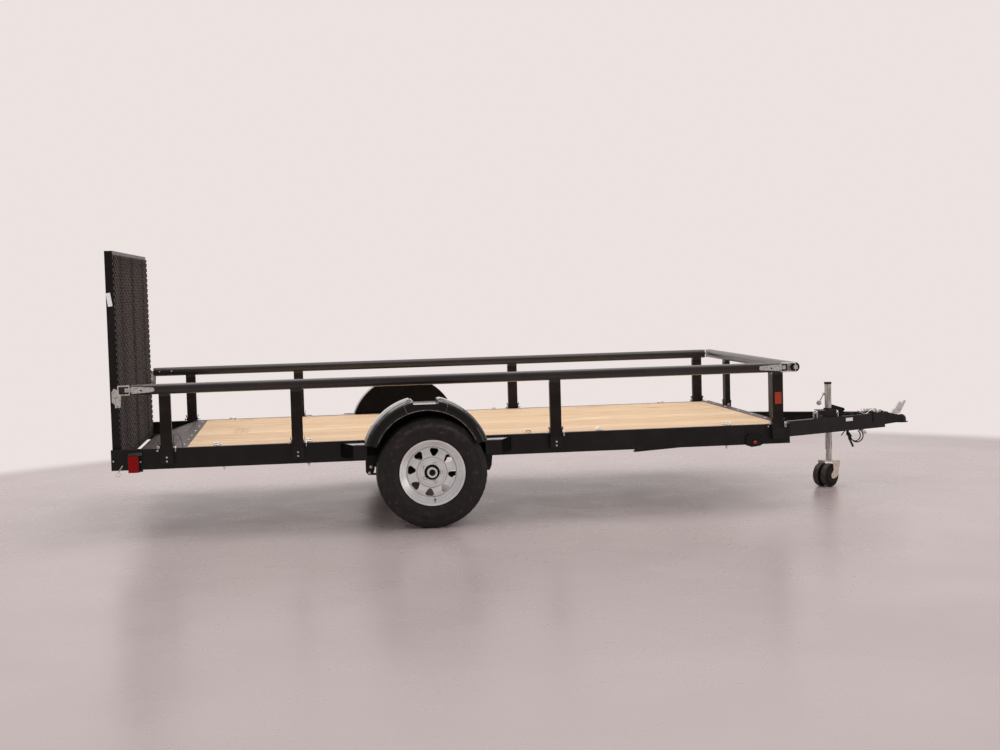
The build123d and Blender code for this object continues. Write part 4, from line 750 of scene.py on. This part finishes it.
def caster_rubber(point):
    """Black caster rubber whose treads are brown with dust. The share of tread is 1 where the
    surface faces away from the wheels' own axle."""
    facing = point.node("TexCoord", {}, {}, "Normal")
    along = facing.axis("Y") * math.cos(caster_turn) - facing.axis("X") * math.sin(caster_turn)
    tread = 1.0 - along.sum("ABSOLUTE", along).step(0.35, 0.75)
    dust = point.noise(60.0, 4.0).step(0.35, 0.75)
    worn = dust.between(colour(70, 61, 57), colour(48, 42, 39))
    return {
        "Base Color": tread.between(colour(20, 17, 17), worn),
        "Roughness": 0.55 + dust * 0.15,
        "Specular IOR Level": 0.3,
        "Normal": point.noise(500.0).bump(0.0002),
    }


caster_turn = math.radians(35)
dress(finish("caster_rubber", caster_rubber), "caster_wheels")
dress(plastic, "hub_left", "hub_right")
wheel_y = 1.1375
side_wall = [
    (0.060, 0.200), (0.072, 0.207), (0.079, 0.2095), (0.0855, 0.2125), (0.0885, 0.217), (0.0890, 0.2215),
    (0.0935, 0.227), (0.0985, 0.239), (0.1020, 0.254), (0.1025, 0.263), (0.1034, 0.2645), (0.1034, 0.2685),
    (0.1023, 0.270), (0.1008, 0.283), (0.0985, 0.295), (0.0970, 0.300), (0.0978, 0.3015), (0.0976, 0.305),
    (0.0955, 0.307), (0.0925, 0.315), (0.0890, 0.324), (0.0850, 0.333), (0.0815, 0.3375), (0.0760, 0.3400),
]
half_crown = [
    (0.0500, 0.3418), (0.0494, 0.334), (0.0436, 0.334), (0.0430, 0.3424),
    (0.0200, 0.3436), (0.0194, 0.3355), (0.0136, 0.3355), (0.0130, 0.3439),
]
tread_steps = 240


def tyre(mirror):
    """The tyre's section from bead to bead, with raised rings on the walls and four grooves in the
    crown, turned about the axle. Every fifth step of the shoulders and ribs is cut in as a slot."""
    half = np.array(side_wall + half_crown)
    section = np.concatenate((half, half[::-1] * (-1, 1)))
    grid = turned(section, (axle_x, mirror * wheel_y, axle_z), (0, mirror, 0), tread_steps)
    cut = np.where(np.arange(tread_steps + 1) % 5 == 0, 0.0045, 0.0)
    worn = np.where(section[:, 1] > 0.3360, 1.0, 0.0) * np.where(np.abs(section[:, 0]) > 0.049, 1.0, 0.35)
    centre = np.array((axle_x, 0.0, axle_z))
    way = (grid - centre) * (1, 0, 1)
    return grid - way * (worn[:, None] * cut)[..., None]


def wheel_zinc(mirror):
    """Five nuts on their studs and the hub's cap tube with its open end."""
    pieces = []
    middle = np.array((axle_x, mirror * wheel_y, axle_z))
    nut = [(0.0395, 0), (0.0395, 0.0118), (0.0520, 0.0118), (0.0572, 0.0085), (0.0580, 0.0)]
    for i in range(5):
        angle = math.radians(i * 72 + 18)
        place = middle + 0.05715 * np.array((math.sin(angle), 0.0, math.cos(angle)))
        pieces.append(turned(nut, place, (0, mirror, 0), 6))
    cap = [(0.019, 0.030), (0.019, 0.0318), (0.0690, 0.0318), (0.0712, 0.0300), (0.0712, 0.0235),
           (0.0640, 0.0215), (0.0640, 0.0200)]
    pieces.append(turned(cap, middle, (0, mirror, 0), 40))
    return pieces


for side, mirror in (("right", -1), ("left", 1)):
    body = "wheel_" + side
    made = skin("tyre_" + side + "_treaded", [tyre(mirror)], tyre_rubber, body, 40)
    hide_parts("tyre_" + side)
    skin("wheel_zinc_" + side, wheel_zinc(mirror), galvanised, body, 40)
    stem = (axle_x - 0.015 * mirror, mirror * (wheel_y + 0.016), axle_z - 0.171)
    stem_end = (stem[0], mirror * (wheel_y + 0.048), axle_z - 0.170)
    skin("valve_" + side, [rod(stem, stem_end, 0.0052)], plastic, body)


# ---- Fenders ----
# Round fenders of gloss black moulded plastic, with a swelling on each side of a flat step, a
# rolled lip round the opening and fine beads on the edges, lip and beads pale grey as a painted highlight.
def gloss_moulding(point):
    """Gloss black moulding with soft flow marks. Its outer side, more than a metre from the
    middle plane, is polished, most of all where it faces up; the inner wall is left plain."""
    haze = point.noise(13.0, 4.0).step(0.4, 0.8)
    across = point.axis("Y")
    outer = across.sum("ABSOLUTE", across).step(1.004, 1.010)
    upward = point.node("TexCoord", {}, {}, "Normal").axis("Z").step(0.3, 0.8)
    return {
        "Base Color": haze.between(colour(11, 9, 9), colour(19, 16, 16)),
        "Roughness": 0.3 + haze * 0.1,
        "Specular IOR Level": 0.1,
        "Coat Weight": outer * (upward * 0.75 + 0.25),
        "Coat IOR": 1.9,
        "Coat Roughness": 0.03,
        "Normal": point.noise(50.0, 2.0).bump(0.00008),
    }


fender_gloss = finish("gloss_moulding", gloss_moulding)
dress(fender_gloss, "fender_left", "fender_right")
fender_x = rear_end + 1.926
fender_z = 0.414
ledge_y = 1.1865
ledge_z = 0.5305
lobe = np.array([
    (1.000, 0.386), (1.003, 0.393), (1.010, 0.3965), (1.100, 0.3968), (1.205, 0.3965),
    (1.228, 0.392), (1.244, 0.381), (1.254, 0.366), (1.2575, 0.352), (1.2575, 0.338),
    (1.2550, 0.328), (1.250, 0.325), (1.249, 0.330), (1.249, 0.360), (1.230, 0.378),
    (1.200, 0.384), (1.010, 0.384), (1.000, 0.386),
])
lobe_wall = np.clip((lobe[:, 0] - 1.205) / 0.045, 0, 1)


def fender_lobe(mirror, way):
    """A swelling over the arch between the step and a ledge. Its section is turned about the
    arch's centre and grows out of the sheet over a few degrees, later on the wall than on top."""
    angle = np.radians(np.linspace(12.3, 71.5, 40))
    start = np.radians(11.8 + 7.5 * lobe_wall)
    grown = np.clip((angle[:, None] - start) / math.radians(2.6), 0, 1)
    grown = grown * grown * (3 - 2 * grown)
    reach = lobe[:, 1] - 0.0105 * (1 - grown)
    y = lobe[:, 0] - 0.0105 * (1 - grown) * lobe_wall
    x = fender_x + way * np.sin(angle)[:, None] * reach
    z = fender_z + np.cos(angle)[:, None] * reach
    rows = np.stack((x, mirror * y, z), axis=-1)
    ends = rows[[0, -1]].mean(axis=1, keepdims=True) + 0 * rows[[0, -1]]
    return np.concatenate((ends[:1], rows, ends[1:]))


def fender_lip(mirror):
    """The rolled lip: round the opening, then out along the top edge of each ledge."""
    angle = np.radians(np.linspace(-66, 66, 49))
    reach = 0.3215 + 0.008 * np.abs(np.sin(angle)) ** 2
    arch = np.stack((reach * np.sin(angle), np.full(49, 1.2525), fender_z + reach * np.cos(angle)), 1)
    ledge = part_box("fender_right")
    sweep = np.linspace(0, 1, 9)[1:]
    ends = []
    for way, tip in ((-1, ledge[0].x + 0.074), (1, ledge[1].x - 0.084)):
        start = arch[0] if way < 0 else arch[-1]
        x = start[0] + way * 0.075 * sweep
        z = ledge_z + (start[2] - ledge_z) * (1 - sweep) ** 2.2
        y = start[1] - (start[1] - ledge_y) * sweep ** 1.5
        end = np.stack((x, y, z), 1)
        end = np.concatenate((end, [(tip - fender_x, ledge_y, ledge_z)]))
        ends.append(end)
    path = np.concatenate((ends[0][::-1], arch, ends[1]))
    return bar(path * (1, mirror, 1) + (fender_x, 0, 0), 0.0035)


def lobe_beads(mirror, way):
    """Two fine beads: along the fold between a lobe's top and wall, and down its first edge."""
    angle = np.radians(np.linspace(15, 62, 25))
    fold_x, fold_z = way * 0.3855 * np.sin(angle), fender_z + 0.3855 * np.cos(angle)
    fold = np.stack((fold_x, np.full(25, 1.2385), fold_z), 1)
    edge_y, edge_reach = lobe[4:11].T
    turn = np.radians(13.6 + 7.5 * lobe_wall[4:11])
    edge_x, edge_z = way * edge_reach * np.sin(turn), fender_z + edge_reach * np.cos(turn)
    edge = np.stack((edge_x, edge_y, edge_z), 1)
    return [bar(path * (1, mirror, 1) + (fender_x, 0, 0), 0.0016, 6) for path in (fold, edge)]


def painted_edge_highlight(point):
    """The moulding's rolled edges, pale grey as a painted highlight, dimmer in patches."""
    # Painted highlight: a pale grey on the lip and beads, dimmer where this noise is high.
    worn = point.noise(40.0, 4.0).step(0.35, 0.7)
    return {
        "Base Color": worn.between(colour(112, 106, 106), colour(58, 53, 53)),
        "Roughness": 0.2,
        "Specular IOR Level": 0.6,
    }


edge_highlight_paint = finish("painted_edge_highlight", painted_edge_highlight)
for side, mirror in (("right", -1), ("left", 1)):
    forms = [fender_lobe(mirror, way) for way in (-1, 1)]
    skin("fender_forms_" + side, forms, fender_gloss, "chassis", 50)
    edges = [fender_lip(mirror), *lobe_beads(mirror, -1), *lobe_beads(mirror, 1)]
    skin("fender_edges_" + side, edges, edge_highlight_paint, "chassis", 50)


# ---- Jack, coupler and what hangs on the tongue ----
# A worn zinc plated jack with a cream fork at its foot, straps that hold it to the beam, black
# cables that lie on the beam and hang under it, and wire rings.
def worn_zinc(point):
    """Dull zinc plate, rubbed darker up and down where the tubes slide."""
    streak = point.scaled(40.0, 40.0, 4.0).noise(3.0, 5.0, 0.7).step(0.42, 0.68)
    return {
        "Base Color": streak.between(colour(216, 212, 209), colour(116, 109, 105)),
        "Metallic": 0.7,
        "Roughness": 0.2 + streak * 0.25,
        "Normal": point.noise(400.0).bump(0.0001),
    }


jack_zinc = finish("worn_zinc", worn_zinc)
dress(jack_zinc, "jack_outer_tube", "jack_inner_tube", "jack_crank")


def cast_zinc(point):
    """Cream zinc plate of the caster's fork."""
    stain = point.noise(50.0, 4.0).step(0.45, 0.75)
    return {
        "Base Color": stain.between(colour(214, 200, 188), colour(186, 172, 160)),
        "Metallic": 0.15,
        "Roughness": 0.4 + stain * 0.15,
    }


dress(finish("cast_zinc", cast_zinc), "caster_fork")


def clamp_strap(x, y, half, low, high):
    """A strap's round bar: two legs and a half circle over them, with a bolt in its eye."""
    turn = np.linspace(0, np.pi, 13)
    arc = np.stack((x + half * np.cos(turn), np.full(13, y), high - half + half * np.sin(turn)), 1)
    legs = np.concatenate(([(x + half, y, low)], arc, [(x - half, y, low)]))
    return [bar(legs, 0.0048), domed_bolt((x, y, high - half), (0, -1, 0), 0.0065)]


straps = clamp_strap(rear_end + 4.7260, -0.2640, 0.0125, 0.487, 0.546)
straps += clamp_strap(rear_end + 4.8980, -0.2080, 0.0125, 0.490, 0.538)
skin("clamp_straps", straps, zinc, "chassis")
turn = np.linspace(0, 1, 40)
harness = [
    np.stack((rear_end + 4.925 + 0.165 * turn, -0.150 + 0.045 * turn + 0.006 * np.sin(9 * turn),
              0.5045 + 0.004 * np.sin(15 * turn)), 1),
    np.stack((rear_end + 5.03 + 0.27 * turn, -0.105 + 0.05 * turn + 0.010 * np.sin(7 * turn),
              0.503 + 0.006 * np.sin(12 * turn + 1)), 1),
]
under = np.stack((rear_end + 5.285 + 0.085 * turn, -0.045 + 0.01 * turn, 0.398 + 0.036 * np.sqrt(turn)), 1)
tail = np.stack((rear_end + 5.000 - 0.040 * turn, -0.135 + 0 * turn, 0.392 - 0.040 * turn ** 1.4), 1)
spare_turn = np.radians(np.linspace(60, -190, 40))
spare_x = rear_end + 5.071 + 0.038 * np.cos(spare_turn)
spare = np.stack((spare_x, np.full(40, -0.112), 0.346 + 0.040 * np.sin(spare_turn)), 1)
knot = [
    (rear_end + 5.020, -0.118, 0.335), (rear_end + 5.036, -0.122, 0.300), (rear_end + 5.052, -0.118, 0.268),
]
cables = [bar(harness[0], 0.0065), bar(harness[1], 0.006), bar(under, 0.0042), bar(tail, 0.004)]
cables += [bar(spare, 0.0042), bar(knot, 0.0075)]
lanyard = [
    (0.378, 0.545), (0.373, 0.585), (0.376, 0.612), (0.392, 0.628), (0.412, 0.608), (0.424, 0.575),
    (0.430, 0.537),
]
cables.append(bar([(rear_end + x, -0.930, z) for x, z in lanyard], 0.0016))
skin("tongue_cables", cables, plastic, "chassis")
turn = np.linspace(0, 2 * np.pi, 40)
coil_x, hook_x = rear_end + 5.150 + 0.045 * np.cos(turn), rear_end + 5.235 + 0.030 * np.cos(turn)
coil = np.stack((coil_x, -0.075 + 0.024 * np.sin(turn), 0.510 + 0.012 * np.cos(turn * 2)), 1)
hook = np.stack((hook_x, -0.060 + 0.016 * np.sin(turn), 0.508 + 0.010 * np.sin(turn)), 1)
skin("tongue_rings", [bar(coil, 0.0028), bar(hook, 0.0032)], zinc, "chassis")


# ---- Lamps, reflectors and the tongue's last pieces ----
# Red tail lenses and amber marker lenses and reflectors, then the brackets, the coupler and the
# blank plate on the side of the tongue beam.
def red_glass(point):
    """Red lens, ribbed inside: a sine up the lens."""
    height = point.axis("Z") * 900.0
    rib = height.sum("SINE", height) * 0.5 + 0.5
    return {
        "Base Color": rib.between(colour(118, 1, 3), colour(142, 3, 4)),
        "Roughness": 0.22,
        "Specular IOR Level": 0.2,
    }


def amber_glass(point):
    """Amber lens with small prisms."""
    cell = point.node("TexVoronoi", {}, {"Vector": point, "Scale": 380.0}, "Distance")
    return {
        "Base Color": cell.between(colour(176, 62, 34), colour(140, 42, 24)),
        "Roughness": 0.25,
        "Normal": cell.bump(0.0003),
    }


dress(finish("red_glass", red_glass), "tail_lamps")
dress(finish("amber_glass", amber_glass), "marker_lamps", "reflectors")
dress(plastic, "marker_brackets", "jack_cap", "jack_handle")
dress(frame_coat, "coupler", "jack_bracket")
plate_place = (rear_end + 4.998, -0.1965, 0.4705)
beam_plate = slab(plate_place, (0.9135, 0.4067, 0), (0, 0, 1), (0.066, 0.023, 0.002))
skin("beam_plate", [beam_plate], pale_sticker, "chassis")
